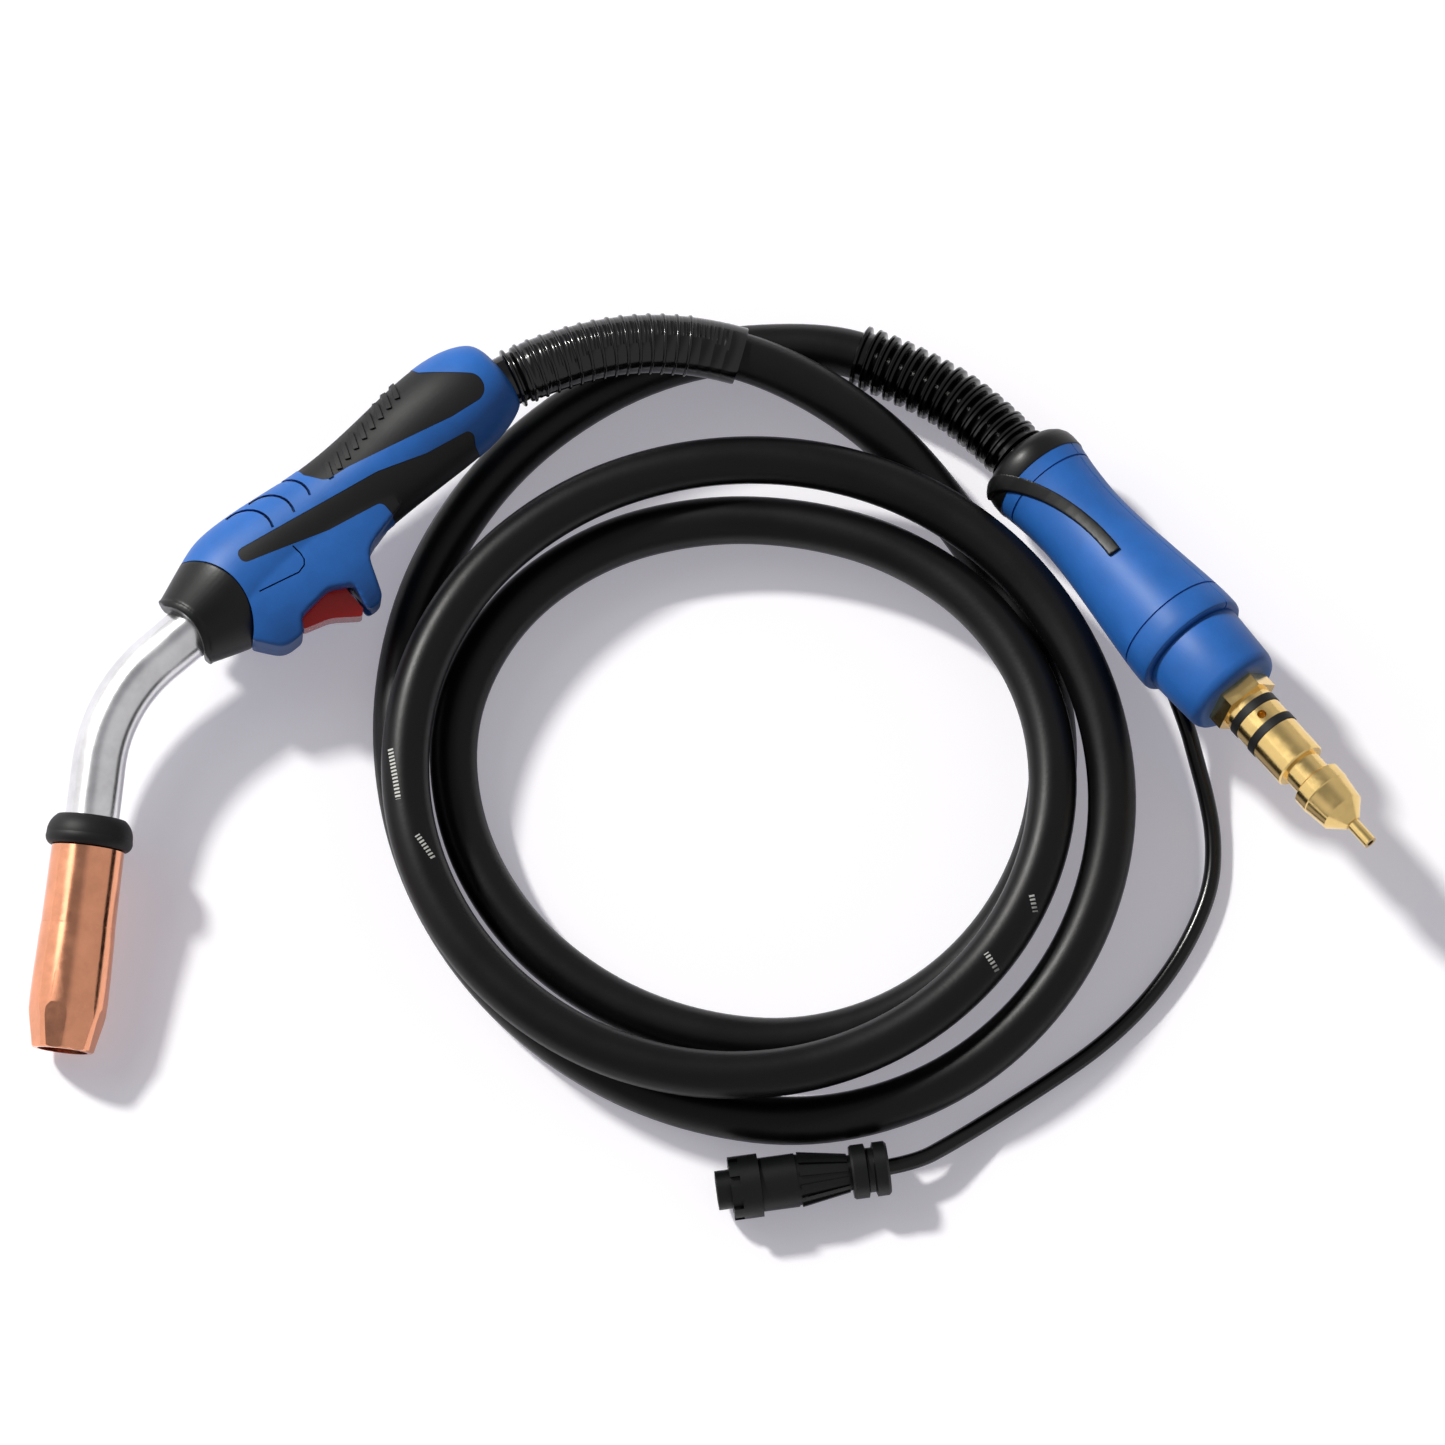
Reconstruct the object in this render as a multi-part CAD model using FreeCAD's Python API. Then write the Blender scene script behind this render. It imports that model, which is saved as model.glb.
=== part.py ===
import FreeCAD, Part
import math
import os

V = FreeCAD.Vector

# All sizes are millimetres. The set lies on a floor at Z = 0 with the nozzle pointing along -Y.
# This puts the middle of the torch over the origin.
torch_to_origin = V(-0.1, 7.6, 0)

# Main cable, laid as three loose turns between the torch and the machine connector.
cable_d = 16.0
cable_r = cable_d / 2
bore_play = 0.1
coil_centre = V(157, -29, 0)
coil_start, coil_end = 90, 1125
coil_stations = 12
# Distance from the coil's centre at each quarter turn, from the machine end to the torch end.
coil_radii = [148.5, 116.5, 121, 116.5, 103, 114, 106.5, 98.5, 88, 98.5, 90.5, 99, 106.5]
# Height of the centreline at the same places: on the floor, or up where it crosses another turn.
coil_heights = [9.7, 8.6, 9.8, 23.7, 25.1, 25.9, 23.7, 26.7, 15.1, 8.7, 8.6, 8.6, 8.4]

# Ribbed boots on the cable.
boot_wall = 0.8
boot_crest_r = 10.0
boot_root_r = cable_r + bore_play + boot_wall
boot_pitch = 4.3
boot_rib = 1.9
boot_cuff = 18.0
boot_cuff_r = 9.75
rear_boot_pitch = 4.7
rear_boot_rib = 1.5
rear_boot_ribs = 13

# Torch: its own frame has X along the grip from front to rear, Y to the spine, Z to the upper side.
torch_place = FreeCAD.Placement(V(-17.7, 23.6, 29.0), FreeCAD.Rotation(40.4, -3, 8))

# Grip: (x, spine, belly, half width, squareness) across the handle and its front collar.
grip_sections = [(-15.5, 12.3, -11.0, 11.6, 2.0), (0, 18.5, -17.2, 17.4, 2.1),
                 (8, 21.0, -18.3, 18.5, 2.2), (27, 19.6, -17.0, 17.6, 2.3),
                 (48, 16.3, -15.5, 16.0, 2.3), (70, 16.9, -15.1, 15.7, 2.3),
                 (93, 19.0, -16.2, 16.7, 2.3), (108, 18.0, -15.9, 16.5, 2.2),
                 (117.5, 14.3, -12.9, 14.2, 2.1), (121.5, 9.9, -10.2, 10.4, 2.0)]
section_points = 12
collar_reach = 7.2
collar_arc_r = 23.0
collar_lip_r = 11.9
collar_front = -17.0

# Trigger housing under the grip, with the guard hook behind the trigger: (x, y, corner radius).
housing_half = 11.0
housing_edge = 2.5
housing_outline = [(1, -8, 0), (-1.2, -17, 2), (5.5, -25.9, 7), (13.4, -26, 2.5), (16.6, -21.2, 2),
                   (29, -20.0, 7), (36.4, -24.3, 1.5), (34.7, -33.6, 1.6), (41.2, -34.4, 4),
                   (47, -18.2, 9), (66, -13.8, 0), (66, -8, 0)]

# Soft pads let into the grip: side views, proud of the shell by pad_proud and pad_depth deep.
pad_proud = 0.4
pad_depth = 1.6
spine_pad_outline = [(47.3, 24, 0), (47.6, 14.5, 2), (51.5, 8.0, 4), (60, 6.8, 8), (97, -2.6, 12),
                     (112.6, -4.6, 5), (112.8, 3.5, 5), (98.8, 16.6, 2), (96.5, 24, 0)]
belly_pad_outline = [(12.2, 4.1, 2.4), (13.4, 8.9, 2.2), (66.3, -0.6, 10), (83, -6.4, 10),
                     (100.6, -9.7, 2.2), (97.5, -14.5, 3), (97, -24, 0), (61.5, -24, 0),
                     (61.2, -9.2, 2.5), (41.5, -5.4, 10)]
ridge_spots = [(19.5, 11.0, 9.6), (28.4, 10.3, 9.4), (36.6, 11.2, 8.9)]
ridge_width = 0.7
ridge_depth = 0.7
ridge_floor = 9.3

# Trigger, its pin and the switch above it.
trigger_half = 7.0
trigger_outline = [(15.2, -14.2, 1), (14.7, -24.4, 1.5), (24, -27.3, 14), (32.4, -33.6, 1.2),
                   (34.3, -31.7, 0.8), (34.3, -14.2, 1)]
trigger_pivot = (18.6, -17.4)
trigger_pin_r = 1.5
trigger_play = 0.4
pocket_front, pocket_rear, pocket_top, pocket_floor = 13.9, 35.1, -11.3, -50.0
hook_room = 1.5
switch_x, switch_length, switch_half = 27.0, 12.0, 3.2
switch_top, switch_roof = -8.4, 0.5
plunger_r, plunger_length = 1.2, 3.9
plunger_touch = -14.1

# Goose neck: tubes one in another on a bent axis, from inside the collar to the nozzle seat.
neck_jacket_r, neck_jacket_bore = 9.0, 7.8
neck_sleeve_r, neck_sleeve_bore = 7.7, 6.1
neck_core_r, neck_core_bore = 6.0, 4.0
liner_r, liner_bore = 2.3, 1.2
neck_tail = 5.0
neck_corner = V(-49.7, 0, 0)
neck_turn = 42.8
neck_bend_r = 56.0
nozzle_seat = V(-83.8, -31.6, 0)

# Nozzle end, measured along its own axis from the seat.
ring_back, ring_front = -7.0, 3.0
ring_r = 14.35
nozzle_back, nozzle_step, nozzle_taper, nozzle_tip = 3.1, 29.5, 57.5, 70.8
nozzle_upper_r, nozzle_lower_r, nozzle_tip_r = 12.15, 12.9, 10.6
nozzle_bore_r, nozzle_mouth_r = 10.9, 8.3
nozzle_flats = 8
nozzle_flat_r = 12.45
nozzle_tip_flat_r = 10.25
bush_front = 26.0
diffuser_back, diffuser_front, diffuser_r = 10.0, 38.0, 6.5
diffuser_hole_r, diffuser_hole_at = 1.0, 31.5
tip_back, tip_front, tip_r, tip_bore = 34.0, 66.0, 3.25, 0.65

# Cable connection inside the grip.
block_front, block_rear, block_r = 9.0, 36.0, 8.0
lug_rear, lug_r = 60.0, 6.8
ferrule_rear, ferrule_r = 72.0, 9.2
screw_head_r, screw_shank_r = 2.6, 1.3
screw_spots = [(9, 13.5, -11.5), (8, -20.6, -8.0), (41.2, -27.5, -8.0), (104.5, -12.4, -10.5)]

# Machine connector: own frame has X along its axis to the pin's tip, Z up.
connector_place = FreeCAD.Placement(V(254.7, 69.0, 20.3), FreeCAD.Rotation(-51.4, -10, 0))
cap_back = -16.8
cap_r = 18.2
housing_profile = [(0, 17.7), (14, 17.9), (40, 18.6), (66, 19.4), (77, 19.5)]
housing_front = 80.0
sleeve_front, sleeve_r = 102.8, 17.0
cable_seat = 1.0
coupler_r, coupler_front = 10.0, 70.0
pin_r = 9.0
ring_groove_depth = 1.3
ring_groove_width = 3.2
ring_spots = [112.2, 121.1]
gas_port_at, gas_port_r = 116.6, 1.5
pin_shank_end, pin_neck_end, pin_neck_r, pin_flange_end = 136.1, 143.7, 6.75, 149.0
pin_body_end, pin_body_r, pin_cone_end = 157.6, 7.8, 163.0
hex_across, hex_thick = 20.5, 5.4
guide_r, guide_bore, guide_back, guide_tip = 2.25, 1.2, 152.0, 172.0
tongue_start, tongue_middle, tongue_end = V(-11, -11, 0), V(8, 0.8, 0), V(39, 2, 0)
tongue_half = 2.2
tongue_rise = 1.5

# Control lead and its four pin plug.
lead_d = 5.5
lead_r = lead_d / 2
plug_place = FreeCAD.Placement(V(146.3, -171.2, 10.6), FreeCAD.Rotation(7.9, 0, 0))
plug_length = 57.0
insert_r, insert_seat_r, insert_length, insert_bore = 6.5, 7.0, 16.0, 5.2
contact_r, contact_circle = 0.75, 2.7
spigot_r = 8.0
ring_fit = 0.08
plug_ring_back, plug_ring_front, plug_ring_r = 4.7, 14.4, 10.5
plug_body_front, plug_body_r = 26.5, 8.9
shell_front, shell_wide_r, shell_slim_r, shell_ribs = 44.6, 9.4, 6.3, 12
clamp_back, clamp_r, clamp_waist_r = 45.0, 9.0, 7.4


def outline(corners, height=0.0):
    """Closed face from (x, y, radius) corners, each rounded by an arc of its radius."""
    edges = []
    count = len(corners)
    starts = []
    for k in range(count):
        x, y, r = corners[k]
        here = V(x, y, height)
        before = V(corners[k - 1][0], corners[k - 1][1], height) - here
        after = V(corners[(k + 1) % count][0], corners[(k + 1) % count][1], height) - here
        before.normalize()
        after.normalize()
        if r == 0:
            starts.append((here, here, here))
            continue
        half = before.getAngle(after) / 2
        setback = r / math.tan(half)
        inward = (before + after).normalize()
        middle = here + inward * (r / math.sin(half) - r)
        starts.append((here + before * setback, middle, here + after * setback))
    for k in range(count):
        first, middle, last = starts[k]
        if first != last:
            edges.append(Part.Arc(first, middle, last).toShape())
        following = starts[(k + 1) % count][0]
        if (following - last).Length > 1e-4:
            edges.append(Part.makeLine(last, following))
    return Part.Face(Part.Wire(edges))


def slab(corners, half):
    """Side view pushed out to both sides of the middle plane."""
    return outline(corners, -half).extrude(V(0, 0, 2 * half))


def turned(profile):
    """Solid turned about X; a point is (x, r), or (x, r, x, r) for an arc's middle and end."""
    edges = []
    here = V(profile[0][0], profile[0][1], 0)
    first = here
    for item in profile[1:]:
        last = V(item[-2], item[-1], 0)
        if len(item) == 4:
            edges.append(Part.Arc(here, V(item[0], item[1], 0), last).toShape())
        else:
            edges.append(Part.makeLine(here, last))
        here = last
    edges.append(Part.makeLine(here, first))
    return Part.Face(Part.Wire(edges)).revolve(V(0, 0, 0), V(1, 0, 0), 360)


def ring(back, front, outer, inner):
    return turned([(back, inner), (back, outer), (front, outer), (front, inner)])


def rod(back, front, radius):
    return Part.makeCylinder(radius, front - back, V(back, 0, 0), V(1, 0, 0))


def prism(sides, across, back, front):
    """Regular bar along X, flats across apart, one flat on the upper side."""
    radius = across / 2 / math.cos(math.pi / sides)
    corners = []
    for k in range(sides + 1):
        angle = 2 * math.pi * (k + 0.5) / sides
        corners.append(V(back, radius * math.sin(angle), radius * math.cos(angle)))
    return Part.Face(Part.makePolygon(corners)).extrude(V(front - back, 0, 0))


def route(points):
    """Straight runs joined by tangent arcs at the given corner points."""
    edges = []
    last = points[0]
    for before, here, after in zip(points, points[1:], points[2:]):
        to_before = (before - here)
        to_after = (after - here)
        setback = 0.45 * min(to_before.Length, to_after.Length)
        to_before.normalize()
        to_after.normalize()
        half = to_before.getAngle(to_after) / 2
        radius = setback * math.tan(half)
        inward = (to_before + to_after).normalize()
        middle = here + inward * (radius / math.sin(half) - radius)
        edges.append(Part.makeLine(last, here + to_before * setback))
        edges.append(Part.Arc(here + to_before * setback, middle, here + to_after * setback).toShape())
        last = here + to_after * setback
        radii.append(radius)
    edges.append(Part.makeLine(last, points[-1]))
    return Part.Wire(edges)


def square_to(direction):
    """Rotation with Z along the direction and X level, so that neighbours never twist."""
    level = V(0, 0, 1).cross(direction).normalize()
    return FreeCAD.Rotation(level, V(0, 0, 0), direction, "ZXY")


def circle(centre, direction, radius):
    loop = Part.Circle(V(0, 0, 0), V(0, 0, 1), radius).toShape()
    loop.Placement = FreeCAD.Placement(centre, square_to(direction))
    return Part.Wire(loop)


def tube(path, radius, bore=0.0):
    """Round tube on a wire of tangent pieces."""
    first = path.OrderedEdges[0]
    start = first.valueAt(first.FirstParameter)
    direction = first.tangentAt(first.FirstParameter)
    solid = path.makePipeShell([circle(start, direction, radius)], True, False)
    if bore:
        solid = solid.cut(path.makePipeShell([circle(start, direction, bore)], True, False))
    return solid


def along(path, distance):
    """Point and direction at a distance along a wire."""
    for edge in path.OrderedEdges:
        if distance <= edge.Length + 1e-6:
            spot = edge.getParameterByLength(min(distance, edge.Length))
            return edge.valueAt(spot), edge.tangentAt(spot).normalize()
        distance -= edge.Length
    return edge.valueAt(edge.LastParameter), edge.tangentAt(edge.LastParameter).normalize()


def ribbed(path, stops):
    """Solid on a wire through (distance, radius) stops."""
    return Part.makeLoft([circle(*along(path, distance), radius) for distance, radius in stops], True, True)


def rib_stops(first, count, pitch, width):
    """Root, crest, crest and root of each rib in turn."""
    stops = []
    for k in range(count):
        middle = first + pitch * (k + 0.5)
        stops += [(middle - width / 2 - 0.3, boot_root_r), (middle - width / 2, boot_crest_r),
                  (middle + width / 2, boot_crest_r), (middle + width / 2 + 0.3, boot_root_r)]
    return stops


def arc_from(start, direction, end):
    """Arc that leaves start along a direction and ends at end."""
    chord = end - start
    unit = V(chord).normalize()
    side = direction - unit * direction.dot(unit)
    half = direction.getAngle(chord)
    if half < 1e-5:
        return Part.makeLine(start, end)
    middle = start + chord / 2 + side.normalize() * (chord.Length / 2 * math.tan(half / 2))
    return Part.Arc(start, middle, end).toShape()


def biarc(p0, t0, p1, t1):
    """Two arcs from p0 along t0 to p1 along t1."""
    v = p1 - p0
    t = t0 + t1
    den = 2 * (1 - t0.dot(t1))
    reach = (-v.dot(t) + math.sqrt(v.dot(t) ** 2 + den * v.dot(v))) / den
    joint = (p0 + p1 + (t0 - t1) * reach) / 2
    first = arc_from(p0, t0, joint)
    direction = first.tangentAt(first.LastParameter).normalize()
    return [first, arc_from(joint, direction, p1)]


def least_gap(points, apart, thickness):
    """Least clear distance of a tube to itself, between points further apart than given."""
    step = (points[1] - points[0]).Length
    skip = int(apart / step)
    least = min((p - q).Length for k, p in enumerate(points) for q in points[k + skip:])
    return least - thickness


radii = []
nodes = {}


def keep(name, shape, place=FreeCAD.Placement()):
    nodes[name] = shape.transformed(place.Matrix).translated(torch_to_origin)


# Cable: the laid turns, then the two ends that leave them on a tangent.
coil_angles = [math.radians(coil_start + 90 * k) for k in range(coil_stations)] + [math.radians(coil_end)]
coil_points = []
for angle, radius, height in zip(coil_angles, coil_radii, coil_heights):
    coil_points.append(coil_centre + V(radius * math.cos(angle), radius * math.sin(angle), height))


def coil_direction(k):
    """Way the laid cable runs at a station, from the stations on both sides."""
    swept = coil_angles[k + 1] - coil_angles[k - 1]
    outward = V(math.cos(coil_angles[k]), math.sin(coil_angles[k]), 0)
    around = V(-outward.y, outward.x, 0) * coil_radii[k]
    widening = outward * ((coil_radii[k + 1] - coil_radii[k - 1]) / swept)
    rising = V(0, 0, (coil_heights[k + 1] - coil_heights[k - 1]) / swept)
    return (around + widening + rising).normalize()


def connector_point(x):
    return connector_place.multVec(V(x, 0, 0))


def torch_point(x, y):
    return torch_place.multVec(V(x, y, 0))


machine_end = [connector_point(cable_seat), connector_point(-31.5), V(206.5, 110.4, 12.2), V(181, 119.8, 10.6),
               coil_points[0]]
torch_end = [torch_point(lug_rear, 0), torch_point(86, 0), torch_point(110, -0.8), torch_point(134, -7),
             V(111.5, 112.2, 33.2), V(134, 113.9, 30.0), V(158.5, 109.6, 26.9), V(182.5, 99.0, 22.5),
             V(204, 84.2, 16.7), V(221.5, 66.0, 8.5), coil_points[-1]]
machine_path = route(machine_end)
torch_path = route(torch_end)

tangents = [(coil_points[0] - machine_end[-2]).normalize()]
tangents += [coil_direction(k) for k in range(1, coil_stations)]
tangents.append((torch_end[-2] - coil_points[-1]).normalize())
coil_edges = []
for k in range(coil_stations):
    coil_edges += biarc(coil_points[k], tangents[k], coil_points[k + 1], tangents[k + 1])
coil_path = Part.Wire(coil_edges)
keep("cable_coil", tube(coil_path, cable_r))
keep("cable_machine_end", tube(machine_path, cable_r))
keep("cable_torch_end", tube(torch_path, cable_r))
print("cable", round(coil_path.Length + machine_path.Length + torch_path.Length), "mm long")
print("coil clears itself by", round(least_gap(coil_path.discretize(Distance=4.0), 120, cable_d), 2))
print("bend radii of the free ends", [round(r) for r in radii])

# Ribbed boots: the torch's has a smooth cuff, the connector's has thinner ribs.
boot_bore = cable_r + bore_play
torch_boot_back = 48.0
torch_boot_ribs_from = torch_boot_back + 15.5
torch_boot_ribs = 15
boot_ribs_to = torch_boot_ribs_from + torch_boot_ribs * boot_pitch
neck_stops = [(torch_boot_back + step, boot_root_r) for step in (0, 5, 10)]
stops = neck_stops + rib_stops(torch_boot_ribs_from, torch_boot_ribs, boot_pitch, boot_rib)
stops += [(boot_ribs_to + 0.6, boot_cuff_r), (boot_ribs_to + boot_cuff, boot_cuff_r)]
boot_hole = tube(torch_path, boot_bore)
keep("torch_boot", ribbed(torch_path, stops).cut(boot_hole))
boot_seat_end = stops[3][0]
neck_stops = [(distance, radius + bore_play) for distance, radius in neck_stops + [(boot_seat_end, boot_root_r)]]
torch_boot_room = ribbed(torch_path, neck_stops + [(boot_seat_end + 6, boot_root_r + bore_play)])
rear_boot_back = cable_seat + 8.5
rear_ribs_from = cable_seat - cap_back + 0.8
stops = [(rear_boot_back, boot_root_r)]
stops += rib_stops(rear_ribs_from, rear_boot_ribs, rear_boot_pitch, rear_boot_rib)
stops += [(rear_ribs_from + rear_boot_ribs * rear_boot_pitch + 2, boot_root_r)]
keep("connector_boot", ribbed(machine_path, stops).cut(tube(machine_path, boot_bore)))

# Goose neck axis in the torch's frame, from inside the collar to the nozzle seat.
turn = math.radians(neck_turn)
neck_dir = V(-math.cos(turn), -math.sin(turn), 0)
bend_reach = neck_bend_r * math.tan(turn / 2)
bend_start = neck_corner + V(bend_reach, 0, 0)
bend_end = neck_corner + neck_dir * bend_reach
nozzle_place = FreeCAD.Placement(nozzle_seat, FreeCAD.Rotation(180 + neck_turn, 0, 0))


def neck_wire(tail, reach):
    """Neck axis from x = tail to a distance past the nozzle seat."""
    end = nozzle_seat + neck_dir * reach
    return Part.Wire([Part.makeLine(V(tail, 0, 0), bend_start),
                      arc_from(bend_start, V(-1, 0, 0), bend_end),
                      Part.makeLine(bend_end, end)])


def torch_part(name, shape):
    keep(name, shape, torch_place)


def nozzle_part(name, shape):
    torch_part(name, shape.transformed(nozzle_place.Matrix))


torch_part("neck_jacket", tube(neck_wire(neck_tail, 1.0), neck_jacket_r, neck_jacket_bore))
torch_part("neck_sleeve", tube(neck_wire(neck_tail, 1.0), neck_sleeve_r, neck_sleeve_bore))
torch_part("neck_core", tube(neck_wire(block_front + 8, diffuser_back), neck_core_r, neck_core_bore))
torch_part("wire_liner", tube(neck_wire(block_rear - 2, tip_back - 1), liner_r, liner_bore))

# Nozzle: turned copper with eight flats that lean in at the tip.
bore = [(nozzle_back, 0), (nozzle_back, nozzle_bore_r), (nozzle_step + 20, nozzle_bore_r),
        (nozzle_tip - 4, nozzle_mouth_r), (nozzle_tip, nozzle_mouth_r), (nozzle_tip, 0)]
upper = turned([(nozzle_back, 0), (nozzle_back, nozzle_upper_r), (nozzle_step, nozzle_upper_r + 0.3),
                (nozzle_step, 0)])
lower = turned([(nozzle_step, 0), (nozzle_step, nozzle_lower_r - 0.3),
                (nozzle_step + 0.5, nozzle_lower_r), (nozzle_taper, nozzle_lower_r),
                (nozzle_tip - 0.6, nozzle_tip_r), (nozzle_tip - 0.1, nozzle_tip_r - 0.3,
                                                   nozzle_tip, nozzle_tip_r - 0.8), (nozzle_tip, 0)])


def octagon(x, flat_r):
    radius = flat_r / math.cos(math.pi / nozzle_flats)
    corners = []
    for k in range(nozzle_flats + 1):
        angle = 2 * math.pi * (k + 0.5) / nozzle_flats
        corners.append(V(x, radius * math.sin(angle), radius * math.cos(angle)))
    return Part.makePolygon(corners)


flats = Part.makeLoft([octagon(nozzle_step - 1, nozzle_flat_r), octagon(nozzle_taper, nozzle_flat_r),
                       octagon(nozzle_tip + 1, nozzle_tip_flat_r)], True, True)
nozzle_part("gas_nozzle", upper.fuse(lower.common(flats)).cut(turned(bore)).removeSplitter())
nozzle_part("nozzle_boot_ring", turned([(ring_back, neck_jacket_r + 0.05), (ring_back, 11.4),
                                        (-3.6, 13.9, -0.6, ring_r), (1.6, 14.25, ring_front, 13.1),
                                        (ring_front, neck_jacket_r + 0.05)]))
nozzle_part("nozzle_bush", ring(diffuser_back - 6, bush_front, nozzle_bore_r - 0.05, diffuser_r + 0.05))
diffuser = turned([(diffuser_back - 7, 0), (diffuser_back - 7, neck_core_bore - 0.05),
                   (diffuser_back, neck_core_bore - 0.05), (diffuser_back, diffuser_r),
                   (diffuser_front, diffuser_r), (diffuser_front + 4.5, 4.3), (diffuser_front + 4.5, 0)])
diffuser = diffuser.cut(rod(0, tip_back, liner_r + 0.1)).cut(rod(tip_back, tip_front, tip_r + 0.03))
for k in range(4):
    hole = Part.makeCylinder(diffuser_hole_r, 2 * diffuser_r, V(diffuser_hole_at, 0, 0), V(0, 0, 1))
    hole.rotate(V(0, 0, 0), V(1, 0, 0), 45 + 90 * k)
    diffuser = diffuser.cut(hole)
nozzle_part("gas_diffuser", diffuser)
nozzle_part("contact_tip", turned([(tip_back, tip_bore), (tip_back, tip_r), (tip_front - 7, tip_r),
                                   (tip_front - 1, 2.3), (tip_front, 1.6), (tip_front, tip_bore)]))


def across_grip(x, spine, belly, half, squareness, grow):
    """Closed curve across the grip, with flattened sides."""
    middle = (spine + belly) / 2
    rise = (spine - belly) / 2 + grow
    points = []
    for k in range(section_points):
        angle = 2 * math.pi * k / section_points
        c, s = math.cos(angle), math.sin(angle)
        reach = (abs(c) ** squareness + abs(s) ** squareness) ** (-1 / squareness)
        points.append(V(x, middle + rise * s * reach, (half + grow) * c * reach))
    curve = Part.BSplineCurve()
    curve.interpolate(points, PeriodicFlag=True)
    return Part.Wire(curve.toShape())


def grip(grow=0.0):
    return Part.makeLoft([across_grip(*section, grow) for section in grip_sections], True, False)


# Grip: both halves come from one moulded form.
side_wide = 30.0
grip_body = grip()
inner_body = grip(-pad_depth)
pad_body = grip(pad_proud)
ridge_body = grip(-ridge_depth)
collar_zone = Part.makeCylinder(collar_arc_r, 2 * side_wide,
                                V(collar_reach - collar_arc_r, 0.7, -side_wide), V(0, 0, 1))
housing = slab(housing_outline, housing_half)
rims = [e for e in housing.Edges if abs(abs(e.CenterOfMass.z) - housing_half) < 0.01
        and e.CenterOfMass.y < -15 and e.BoundBox.XMax < 60]
housing = housing.makeFillet(housing_edge, rims)
spine_region = slab(spine_pad_outline, side_wide)
belly_region = slab(belly_pad_outline, side_wide)

collar = grip_body.common(collar_zone)
lip = turned([(collar_front, neck_jacket_r + 0.8), (collar_front, 11.0),
              (collar_front + 0.5, 11.7, collar_front + 1.5, collar_lip_r),
              (collar_front + 3.2, 11.6), (collar_front + 3.2, neck_jacket_r + 0.8)])
lip.translate(V(0, 0.65, 0))
collar = collar.fuse(lip).cut(rod(-30, neck_tail, neck_jacket_r + 0.05))
collar = collar.cut(rod(neck_tail, 12, neck_core_r + 0.1))
torch_part("front_collar", collar)

shell = grip_body.fuse(housing).cut(collar_zone)
shell = shell.cut(spine_region.cut(inner_body)).cut(belly_region.cut(inner_body))
for x, y, radius in ridge_spots:
    arc_wall = Part.makeCylinder(radius, 2 * side_wide, V(x, y, -side_wide), V(0, 0, 1))
    arc_wall = arc_wall.cut(Part.makeCylinder(radius - ridge_width, 2 * side_wide,
                                              V(x, y, -side_wide), V(0, 0, 1)))
    quarter = Part.makeBox(20, 20, 2 * side_wide, V(x, ridge_floor, -side_wide))
    shell = shell.cut(arc_wall.common(quarter).cut(ridge_body))
pocket = slab([(pocket_front, pocket_top, 0), (pocket_rear, pocket_top, 0), (pocket_rear, pocket_top - 6, 0),
               (pocket_rear + hook_room, trigger_outline[3][1], 0), (pocket_rear + hook_room, pocket_floor, 0),
               (pocket_front, pocket_floor, 0)], trigger_half + trigger_play)
switch_room = Part.makeBox(switch_length, switch_top - pocket_top, 2 * switch_half,
                           V(switch_x - switch_length / 2, pocket_top, -switch_half))
shell = shell.cut(pocket).cut(switch_room)
shell = shell.cut(rod(0, block_front, neck_core_r + 0.1)).cut(rod(block_front, block_rear, block_r))
shell = shell.cut(rod(block_rear, lug_rear, lug_r)).cut(rod(lug_rear, ferrule_rear, ferrule_r))
shell = shell.cut(tube(torch_path, cable_r + 0.2).transformed(torch_place.inverse().Matrix))
shell = shell.cut(torch_boot_room.transformed(torch_place.inverse().Matrix))
pin_hole = Part.makeCylinder(trigger_pin_r, 2 * (housing_half - 1), V(*trigger_pivot, 1 - housing_half))
shell = shell.cut(pin_hole)
screws = []
for x, y, seat in screw_spots:
    well = Part.makeCylinder(screw_head_r + 0.2, side_wide, V(x, y, seat), V(0, 0, -1))
    screw = Part.makeCylinder(screw_head_r, 1.8, V(x, y, seat), V(0, 0, -1))
    screw = screw.fuse(Part.makeCylinder(screw_shank_r, -seat + 5, V(x, y, seat)))
    screws.append(screw)
    shell = shell.cut(well).cut(screw)
upper_side = Part.makeBox(300, 300, 100, V(-150, -150, 0))
lower_side = Part.makeBox(300, 300, 100, V(-150, -150, -100))
torch_part("handle_upper", shell.common(upper_side))
torch_part("handle_lower", shell.common(lower_side))
torch_part("handle_screws", Part.makeCompound(screws))
torch_part("spine_pad", pad_body.common(spine_region).cut(inner_body))
torch_part("belly_pad", pad_body.common(belly_region).cut(inner_body))

# Trigger and switch.
trigger = slab(trigger_outline, trigger_half)
trigger = trigger.cut(Part.makeCylinder(trigger_pin_r + 0.05, 4 * trigger_half,
                                        V(*trigger_pivot, -2 * trigger_half)))
torch_part("trigger", trigger)
torch_part("trigger_pin", pin_hole)
plunger_hole = Part.makeCylinder(plunger_r + 0.05, switch_top - switch_roof - plunger_touch,
                                 V(switch_x, plunger_touch, 0), V(0, 1, 0))
torch_part("trigger_switch", switch_room.cut(plunger_hole))
torch_part("switch_plunger", Part.makeCylinder(plunger_r, plunger_length, V(switch_x, plunger_touch, 0),
                                               V(0, 1, 0)))

# Brass joint of neck and cable.
block = rod(block_front, block_rear, block_r).cut(rod(block_front, block_front + 8.05, neck_core_r + 0.02))
torch_part("neck_block", block.cut(rod(block_front, block_rear, liner_r + 0.02)))
torch_part("cable_lug", rod(block_rear, lug_rear, lug_r))
torch_part("cable_ferrule", ring(lug_rear, ferrule_rear, ferrule_r, cable_r + 0.02))


def connector_part(name, shape):
    keep(name, shape, connector_place)


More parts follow.
